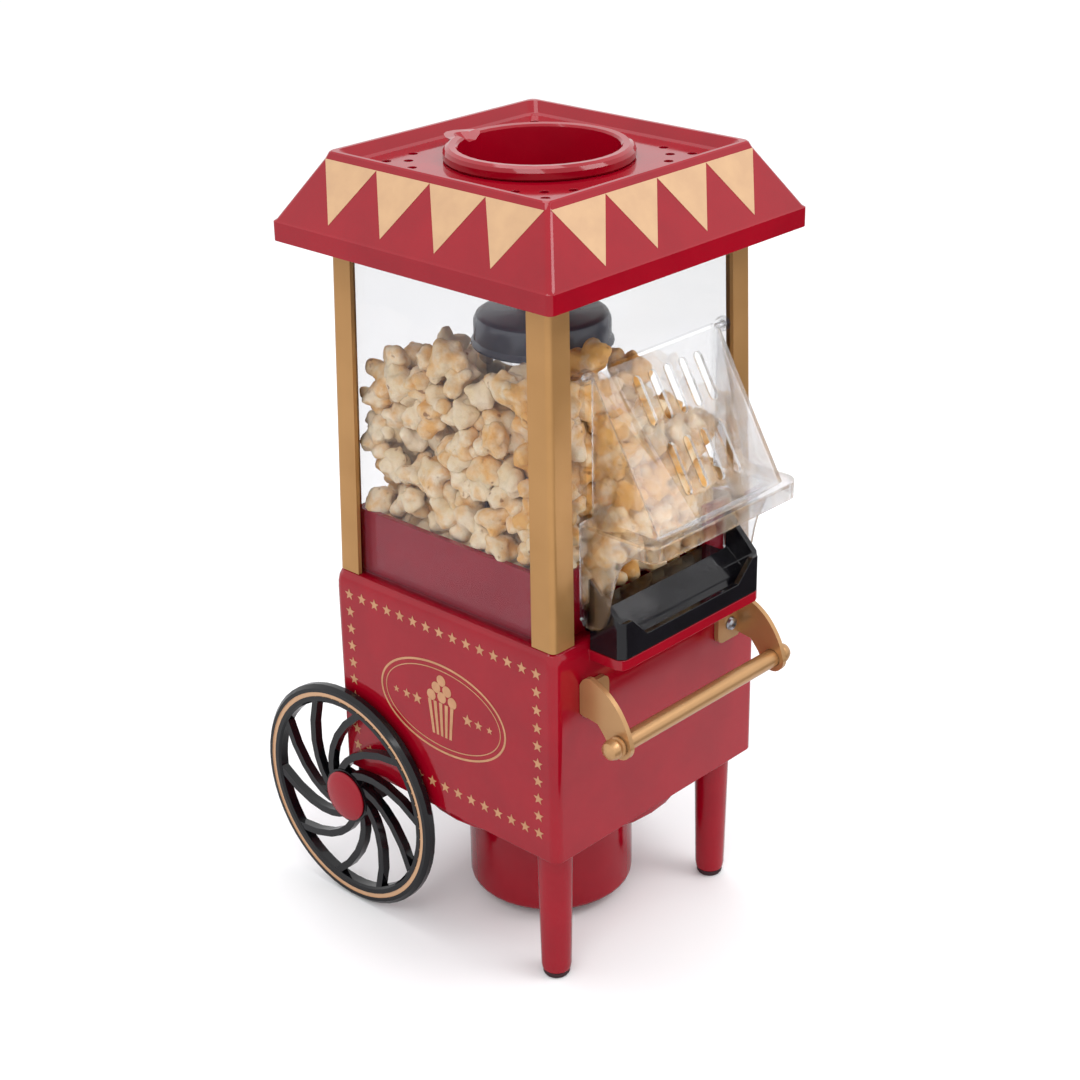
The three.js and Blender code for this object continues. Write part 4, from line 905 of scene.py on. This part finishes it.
@dataclass
class Cabinet:
    """The clear cabinet: gold posts, panes, top frame and the red tray inside."""

    red: bpy.types.Material
    gold: bpy.types.Material
    clear: bpy.types.Material
    slate: bpy.types.Material
    aluminium: bpy.types.Material

    def dress_nodes(self) -> None:
        """Finishes the CAD nodes of the cabinet."""
        for corner in ("front_left", "front_right", "rear_left", "rear_right"):
            soften(dress(f"post_{corner}", self.gold), 0.25)
        for pane in ("left", "right", "front", "rear"):
            soften(dress(f"window_{pane}", self.clear), 0.0)
        soften(dress("cabinet_top_frame", self.red), 0.3)
        soften(dress("popcorn_tray", self.red), 0.5)
        soften(dress("chimney_tube", self.clear), 0.0)
        soften(dress("deflector_cap", self.slate), 0.2)
        soften(dress("popping_chamber", self.aluminium), 0.0)


@dataclass
class Serving:
    """The black chute and the clear flap over it."""

    black: bpy.types.Material
    clear: bpy.types.Material

    def dress_nodes(self) -> None:
        """Finishes the chute and the flap."""
        soften(dress("chute", self.black), 0.6, 24.0)
        soften(dress("flap", self.clear), 0.25, 24.0)


@dataclass
class RunningGear:
    """Front legs with rubber feet, and the two spoked wheels on their axle."""

    red: bpy.types.Material
    rubber: bpy.types.Material
    steel: bpy.types.Material

    def dress_nodes(self) -> None:
        """Finishes the legs, feet, wheels, caps and axle."""
        low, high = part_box("wheel_left")
        lined = LinedLacquer(
            name="lined_black_abs",
            colour="0b0b0f",
            shade="08080b",
            roughness=0.12,
            ior=1.45,
            ripple_height=0.02,
            centre=(0.0, (low.y + high.y) / 2, (low.z + high.z) / 2),
        ).build()
        for side in ("left", "right"):
            soften(dress(f"leg_{side}", self.red), 0.3)
            soften(dress(f"foot_{side}", self.rubber), 0.3)
            soften(dress(f"wheel_{side}", lined), 0.25, 38.0)
            soften(dress(f"hub_cap_{side}", self.red), 0.0)
        soften(dress("wheel_axle", self.steel), 0.0)


@dataclass
class Handle:
    """The gold push handle with its two brackets and screws."""

    gold: bpy.types.Material
    steel: bpy.types.Material

    def dress_nodes(self) -> None:
        """Finishes the handle."""
        for side in ("left", "right"):
            soften(dress(f"handle_bracket_{side}", self.gold), 0.35)
            soften(dress(f"handle_screw_{side}", self.steel), 0.0)
        soften(dress("handle_bar", self.gold), 0.0)


@dataclass
class Works:
    """The drum with the blower and heater, and the electrical pieces."""

    red: bpy.types.Material
    black: bpy.types.Material
    steel: bpy.types.Material
    slate: bpy.types.Material
    mica: bpy.types.Material
    board: bpy.types.Material

    def dress_nodes(self) -> None:
        """Finishes each node of the works."""
        soften(dress("drum_housing", self.red), 0.0)
        for node in ("intake_grille", "fan_impeller", "switch_bezel", "switch_rocker", "cord_gland"):
            soften(dress(node, self.black), 0.2)
        for node in ("motor_mount", "motor", "motor_shaft", "heater_duct", "heater_coil"):
            soften(dress(node, self.steel), 0.0)
        soften(dress("thermostat", self.slate), 0.0)
        soften(dress("heater_plate", self.mica), 0.0)
        soften(dress("rectifier_board", self.board), 0.0)


@dataclass
class Corn:
    """The popped corn that fills the cabinet and spills towards the flap."""

    material: bpy.types.Material
    seed: int = 11
    kinds: int = 7
    voxel: float = 1.25 * MM
    spacing: float = 14.2 * MM
    clearance: float = 0.5 * MM
    shell_depth: float = 25 * MM
    chimney: float = 40.5 * MM
    cap_clearance: float = 4 * MM
    cap_underside: float = 282 * MM
    half: float = 65 * MM
    skin_half: float = 60 * MM
    layers: int = 10
    ridge: float = 301 * MM
    butter_front: float = 0.11
    butter_from: float = -35 * MM
    protos: list[tuple[np.ndarray, np.ndarray]] = field(default_factory=list)

    def kernel(self, rng: random.Random, index: int) -> tuple[np.ndarray, np.ndarray]:
        """Pops one kernel: lobes round a core, run together and crumpled.

        Args:
            rng: The source of chance.
            index: The kind's number.

        Returns:
            Its vertices, about the origin, and its quads.
        """
        bm = bmesh.new()
        lobes = [(Vector((0, 0, 0)), 4.6)]
        for _ in range(rng.randint(6, 9)):
            out = Vector((rng.gauss(0, 1), rng.gauss(0, 1), rng.gauss(0, 0.8))).normalized()
            size = rng.uniform(2.6, 4.2)
            lobes.append((out * rng.uniform(4.0, 6.2), size))
            if rng.random() < 0.6:
                tip = (out + Vector((rng.gauss(0, 0.5), rng.gauss(0, 0.5), rng.gauss(0, 0.5)))).normalized()
                lobes.append((tip * rng.uniform(6.0, 7.4), size * 0.6))
        for centre, radius in lobes:
            bmesh.ops.create_icosphere(
                bm, subdivisions=2, radius=radius * MM, matrix=Matrix.Translation(centre * MM)
            )
        mesh = bpy.data.meshes.new(f"kernel_{index}")
        bm.to_mesh(mesh)
        bm.free()
        obj = bpy.data.objects.new(mesh.name, mesh)
        bpy.context.scene.collection.objects.link(obj)
        remesh = obj.modifiers.new("fuse", "REMESH")
        remesh.mode = "VOXEL"
        remesh.voxel_size = self.voxel
        relax = obj.modifiers.new("relax", "SMOOTH")
        relax.iterations = 2
        done = obj.evaluated_get(bpy.context.evaluated_depsgraph_get()).to_mesh()
        verts = np.zeros(len(done.vertices) * 3, np.float32)
        done.vertices.foreach_get("co", verts)
        verts = verts.reshape(-1, 3)
        quads = np.array([list(p.vertices) for p in done.polygons if len(p.vertices) == 4], np.int32)
        for i, co in enumerate(verts):
            at = Vector(co.tolist())
            crumple = noise.noise(at * per_metre(4.5) + Vector((index * 9.0, 0, 0)))
            fold = abs(noise.noise(at * per_metre(7.0) + Vector((0, index * 7.0, 0))))
            pucker = noise.noise(at * per_metre(2.2) + Vector((0, 0, index * 5.0)))
            verts[i] += np.array(at.normalized() * (crumple * 1.1 - fold * 2.0 + pucker * 0.3 + 0.5) * MM)
        bpy.data.objects.remove(obj)
        return verts, quads

    def heap_top(self, x: float, y: float) -> float:
        """Returns the height of the heap over a point, measured from the housing's middle."""
        ridge = self.ridge - 0.72 * max(0.0, x + 12 * MM) - 0.8 * max(0.0, y - 32 * MM)
        hollow = 8 * MM * noise.noise(Vector((x, y, 0.3)) * per_metre(45.0))
        return ridge + hollow

    def limits(self, z: float, pane: Vector, top: Vector) -> Point:
        """Returns how far the corn may reach in x and y at a height, inside the tray and the panes."""
        tray_low, tray_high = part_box("popcorn_tray")
        if z < tray_high.z + 2 * MM:
            return (tray_high.x - 4.0 * MM, (tray_high.y - tray_low.y) / 2 - 3.4 * MM)
        deck, ceiling = tray_low.z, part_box("window_left")[1].z
        t = (z - deck) / (ceiling - deck)
        return (pane.x + (top.x - pane.x) * t, pane.y + (top.y - pane.y) * t)

    def spots(self, rng: random.Random) -> list[Vector]:
        """Chooses where kernels lie: the part of the heap that shows through panes and opening."""
        spots = []
        reach = int(66 * MM / self.spacing) + 1
        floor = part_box("popcorn_tray")[0].z + 11 * MM
        for i in range(-reach, reach + 1):
            for j in range(-reach, reach + 1):
                for k in range(self.layers):
                    jitter = [rng.uniform(-0.32, 0.32) * self.spacing for _ in range(3)]
                    odd = 0.5 * self.spacing * (k % 2)
                    x = i * self.spacing + odd + jitter[0]
                    y = j * self.spacing + odd + jitter[1]
                    z = floor + k * self.spacing * 0.86 + jitter[2]
                    top = self.heap_top(x, y)
                    if max(abs(x), abs(y)) > self.half or z > top:
                        continue
                    spare = self.cap_clearance if z > self.cap_underside else 0.0
                    if math.hypot(x, y) < self.chimney + spare:
                        continue
                    buried = max(abs(x), abs(y)) < self.skin_half - self.shell_depth
                    if buried and z < top - self.shell_depth:
                        continue
                    spots.append(Vector((x, y, z)))
        return spots

    def spill(self, rng: random.Random) -> list[Vector]:
        """Chooses where kernels lie in front of the opening, on the chute's ramp."""
        spots = []
        step = 13.4
        for y, low, high in ((-67.0, 222.0, 284.0), (-76.0, 235.0, 252.0)):
            for level in range(int((high - low) / step) + 1):
                for i in range(-3, 4):
                    x = i * step + 0.25 * step * (2 * (level % 2) - 1)
                    z = low + step * level
                    if abs(x) > 33 or z > high - 0.6 * max(0.0, x + 12):
                        continue
                    nudge = Vector([rng.uniform(-1.5, 1.5) for _ in range(3)])
                    spots.append((Vector((x, y, z)) + nudge) * MM)
        return spots

    def gather(self) -> None:
        """Pops the kinds of kernel, lays them out and joins them into a few heaps."""
        rng = random.Random(self.seed)
        self.protos = [self.kernel(rng, i) for i in range(self.kinds)]
        housing = (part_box("post_front_left")[0].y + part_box("post_rear_left")[1].y) / 2
        left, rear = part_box("window_left"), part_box("window_rear")
        inner = Vector((-left[0].x - 2.6 * MM, rear[1].y - housing - 2.6 * MM, 0))
        upper = Vector((inner.x - 3.1 * MM, inner.y - 3.1 * MM, 0))
        heaps: dict[str, list[tuple[np.ndarray, np.ndarray, float]]] = {}
        spots = self.spots(rng)
        spilled = self.spill(rng)
        for n, spot in enumerate(spots + spilled):
            verts, quads = self.protos[rng.randrange(self.kinds)]
            spin = Euler([rng.uniform(0, 2 * math.pi) for _ in range(3)]).to_matrix()
            size = rng.uniform(1.05, 1.32) * (0.88 if n >= len(spots) else 1.0)
            co = verts @ np.array(spin).T * size + np.array(spot)
            if n < len(spots):
                self.tuck(co, inner, upper)
            depth, hand = "rear" if spot.y > 0 else "front", "right" if spot.x > 0 else "left"
            key = "spill" if n >= len(spots) else f"{depth}_{hand}"
            co[:, 1] += housing
            butter = self.butter_front if spot.y < self.butter_from else 0.0
            heaps.setdefault(key, []).append((co, quads, rng.gauss(butter, 0.07)))
        for key, kernels in heaps.items():
            self.join(f"popped_corn_{key}", kernels)

    def tuck(self, co: np.ndarray, inner: Vector, upper: Vector) -> None:
        """Moves a kernel inwards until it clears the panes, the tray wall and the tray floor."""
        for _ in range(2):
            for axis in (0, 1):
                for sign in (-1, 1):
                    i = int(np.argmax(co[:, axis] * sign))
                    limit = self.limits(float(co[i, 2]), inner, upper)[axis] - self.clearance
                    over = float(co[i, axis]) * sign - limit
                    if over > 0:
                        co[:, axis] -= sign * over
        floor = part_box("popcorn_tray")[0].z + 3 * MM
        co[:, 2] += max(0.0, floor - float(co[:, 2].min()))

    def join(self, name: str, kernels: list[tuple[np.ndarray, np.ndarray, float]]) -> None:
        """Joins kernels into one piece.

        Args:
            name: The piece's name.
            kernels: The vertices, quads and tone of each kernel.
        """
        verts = np.concatenate([k[0] for k in kernels]).astype(np.float32)
        starts = np.cumsum([0] + [len(k[0]) for k in kernels[:-1]])
        quads = np.concatenate([k[1] + s for k, s in zip(kernels, starts)]).astype(np.int32)
        tones = np.concatenate([np.full(len(k[0]), k[2]) for k in kernels]).astype(np.float32)
        mesh = bpy.data.meshes.new(name)
        mesh.vertices.add(len(verts))
        mesh.vertices.foreach_set("co", verts.ravel())
        mesh.loops.add(quads.size)
        mesh.loops.foreach_set("vertex_index", quads.ravel())
        mesh.polygons.add(len(quads))
        mesh.polygons.foreach_set("loop_start", np.arange(0, quads.size, 4, dtype=np.int32))
        mesh.update(calc_edges=True)
        mesh.validate()
        tone = mesh.attributes.new("tone", "FLOAT", "POINT")
        tone.data.foreach_set("value", tones)
        mesh.shade_smooth()
        new_piece(name, mesh, self.material, Body.MACHINE)


# ------------------------------------------------------------------ studio


@dataclass
class Studio:
    """A white sweep, soft boxes and the camera."""

    eye: tuple[float, float, float] = (-0.67608, -0.64202, 0.61766)
    azimuth: float = -46.594
    elevation: float = 24.548
    roll: float = -1.043
    lens: float = 70.0

    def camera(self) -> None:
        """Places the camera."""
        a, e, r = (math.radians(v) for v in (self.azimuth, self.elevation, self.roll))
        back = Vector((math.sin(a) * math.cos(e), -math.cos(a) * math.cos(e), math.sin(e)))
        right = Vector((math.cos(a), math.sin(a), 0.0))
        up = back.cross(right)
        cam_x = right * math.cos(r) + up * math.sin(r)
        cam_y = up * math.cos(r) - right * math.sin(r)
        data = bpy.data.cameras.new("camera")
        data.lens = self.lens
        data.sensor_width = 36.0
        data.clip_end = 50.0
        camera = bpy.data.objects.new("camera", data)
        matrix = Matrix((cam_x, cam_y, back)).transposed().to_4x4()
        matrix.translation = Vector(self.eye)
        camera.matrix_world = matrix
        bpy.context.scene.collection.objects.link(camera)
        bpy.context.scene.camera = camera

    def lamp(
        self,
        name: str,
        place: tuple[float, float, float],
        aim: tuple[float, float, float],
        size: tuple[float, float],
        power: float,
    ) -> None:
        """Adds a soft box.

        Args:
            name: Its name.
            place: Where it stands.
            aim: What it faces.
            size: Its width and height.
            power: Its power in watts.
        """
        data = bpy.data.lights.new(name, "AREA")
        data.shape = "RECTANGLE"
        data.size, data.size_y = size
        data.energy = power
        lamp = bpy.data.objects.new(name, data)
        lamp.location = place
        lamp.rotation_euler = (Vector(aim) - Vector(place)).to_track_quat("-Z", "Y").to_euler()
        bpy.context.scene.collection.objects.link(lamp)

    def card(
        self, name: str, corners: Sequence[tuple[float, float, float]], colour: str
    ) -> bpy.types.Object:
        """Adds a matt card as part of the stage.

        Args:
            name: Its name.
            corners: Its four corners.
            colour: Its colour.

        Returns:
            The card.
        """
        mesh = bpy.data.meshes.new(name)
        mesh.from_pydata([tuple(c) for c in corners], [], [tuple(range(len(corners)))])
        card = bpy.data.objects.new(name, mesh)
        bpy.context.scene.collection.objects.link(card)
        finish = Finish(name=f"{name}_paint", colour=colour, shade=colour, roughness=0.8, ripple_height=0.0)
        mesh.materials.append(finish.build())
        return card

    def sweep(self, white: bpy.types.Material) -> None:
        """Lays the white sweep that the machine stands on."""
        bm = bmesh.new()
        bmesh.ops.create_grid(bm, x_segments=8, y_segments=8, size=20.0)
        mesh = bpy.data.meshes.new("sweep")
        bm.to_mesh(mesh)
        bm.free()
        floor = bpy.data.objects.new("sweep", mesh)
        bpy.context.scene.collection.objects.link(floor)
        mesh.materials.append(white)

    def flags(self) -> None:
        """Lays a grey and a dark card on the table: only glossy reflections see them."""
        lay = {
            "grey_flag": ((-1.6, 1.6, -1.6, 1.6), 0.001, "c4c4c6"),
            "dark_flag": ((-0.12, 1.6, -1.6, -0.258), 0.002, "140406"),
        }
        for name, ((x0, x1, y0, y1), z, colour) in lay.items():
            flag = self.card(name, [(x0, y0, z), (x1, y0, z), (x1, y1, z), (x0, y1, z)], colour)
            flag.visible_camera = False
            flag.visible_diffuse = False
            flag.visible_shadow = False
            flag.visible_transmission = False

    def light(self) -> None:
        """Sets the surroundings and the soft boxes."""
        world = bpy.data.worlds.new("studio")
        bpy.context.scene.world = world
        world.use_nodes = True
        background = world.node_tree.nodes["Background"]
        background.inputs["Color"].default_value = linear("ffffff")
        background.inputs["Strength"].default_value = 1.08
        self.lamp("key", (-1.3, -0.7, 1.5), (0, 0, 0.2), (0.9, 0.9), 9)
        self.lamp("fill", (0.6, -1.1, 1.5), (0, 0, 0.2), (0.8, 0.8), 9)
        self.lamp("top", (0.1, 0.4, 1.7), (0, 0, 0.3), (1.0, 0.8), 7)
        bpy.context.scene.view_settings.view_transform = "Standard"

    def set_up(self, white: bpy.types.Material) -> None:
        """Builds the whole studio."""
        self.camera()
        self.sweep(white)
        self.flags()
        self.light()


# ------------------------------------------------------------------ main


def report(step: str, work: Callable[[], None]) -> None:
    """Does one step and logs it."""
    work()
    LOG.info("done: %s", step)


def main() -> None:
    """Builds every class in order."""
    logging.basicConfig(level=logging.INFO, format="%(name)s %(message)s")
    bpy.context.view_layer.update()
    red, gold, ink, star_ink = (f.build() for f in (RED_ABS, GOLD_SPRAY, GOLD_INK, STAR_INK))
    lacquer, black = (f.build() for f in (GOLD_LACQUER, BLACK_ABS))
    nylon, slate = (f.build() for f in (BLACK_NYLON, SLATE_PHENOLIC))
    rubber, steel, aluminium = (f.build() for f in (RUBBER, ZINC_STEEL, DRAWN_ALUMINIUM))
    mica, board, clear, flap_clear = (f.build() for f in (MICA, SOLDER_MASK, ACRYLIC, FLAP_ACRYLIC))
    housing = Housing(red, star_ink, nylon, steel)
    report("housing", housing.dress_nodes)
    report("side prints", housing.print_sides)
    roof = Roof(red, ink)
    report("roof", roof.dress_nodes)
    report("pennants", roof.print_pennants)
    report("cabinet", Cabinet(red, gold, clear, slate, aluminium).dress_nodes)
    report("serving", Serving(black, flap_clear).dress_nodes)
    report("running gear", RunningGear(red, rubber, steel).dress_nodes)
    report("handle", Handle(lacquer, steel).dress_nodes)
    report("works", Works(red, nylon, steel, slate, mica, board).dress_nodes)
    report("popped corn", Corn(POPCORN.build()).gather)
    report("studio", lambda: Studio().set_up(SWEEP.build()))


if __name__ == "__main__":
    main()
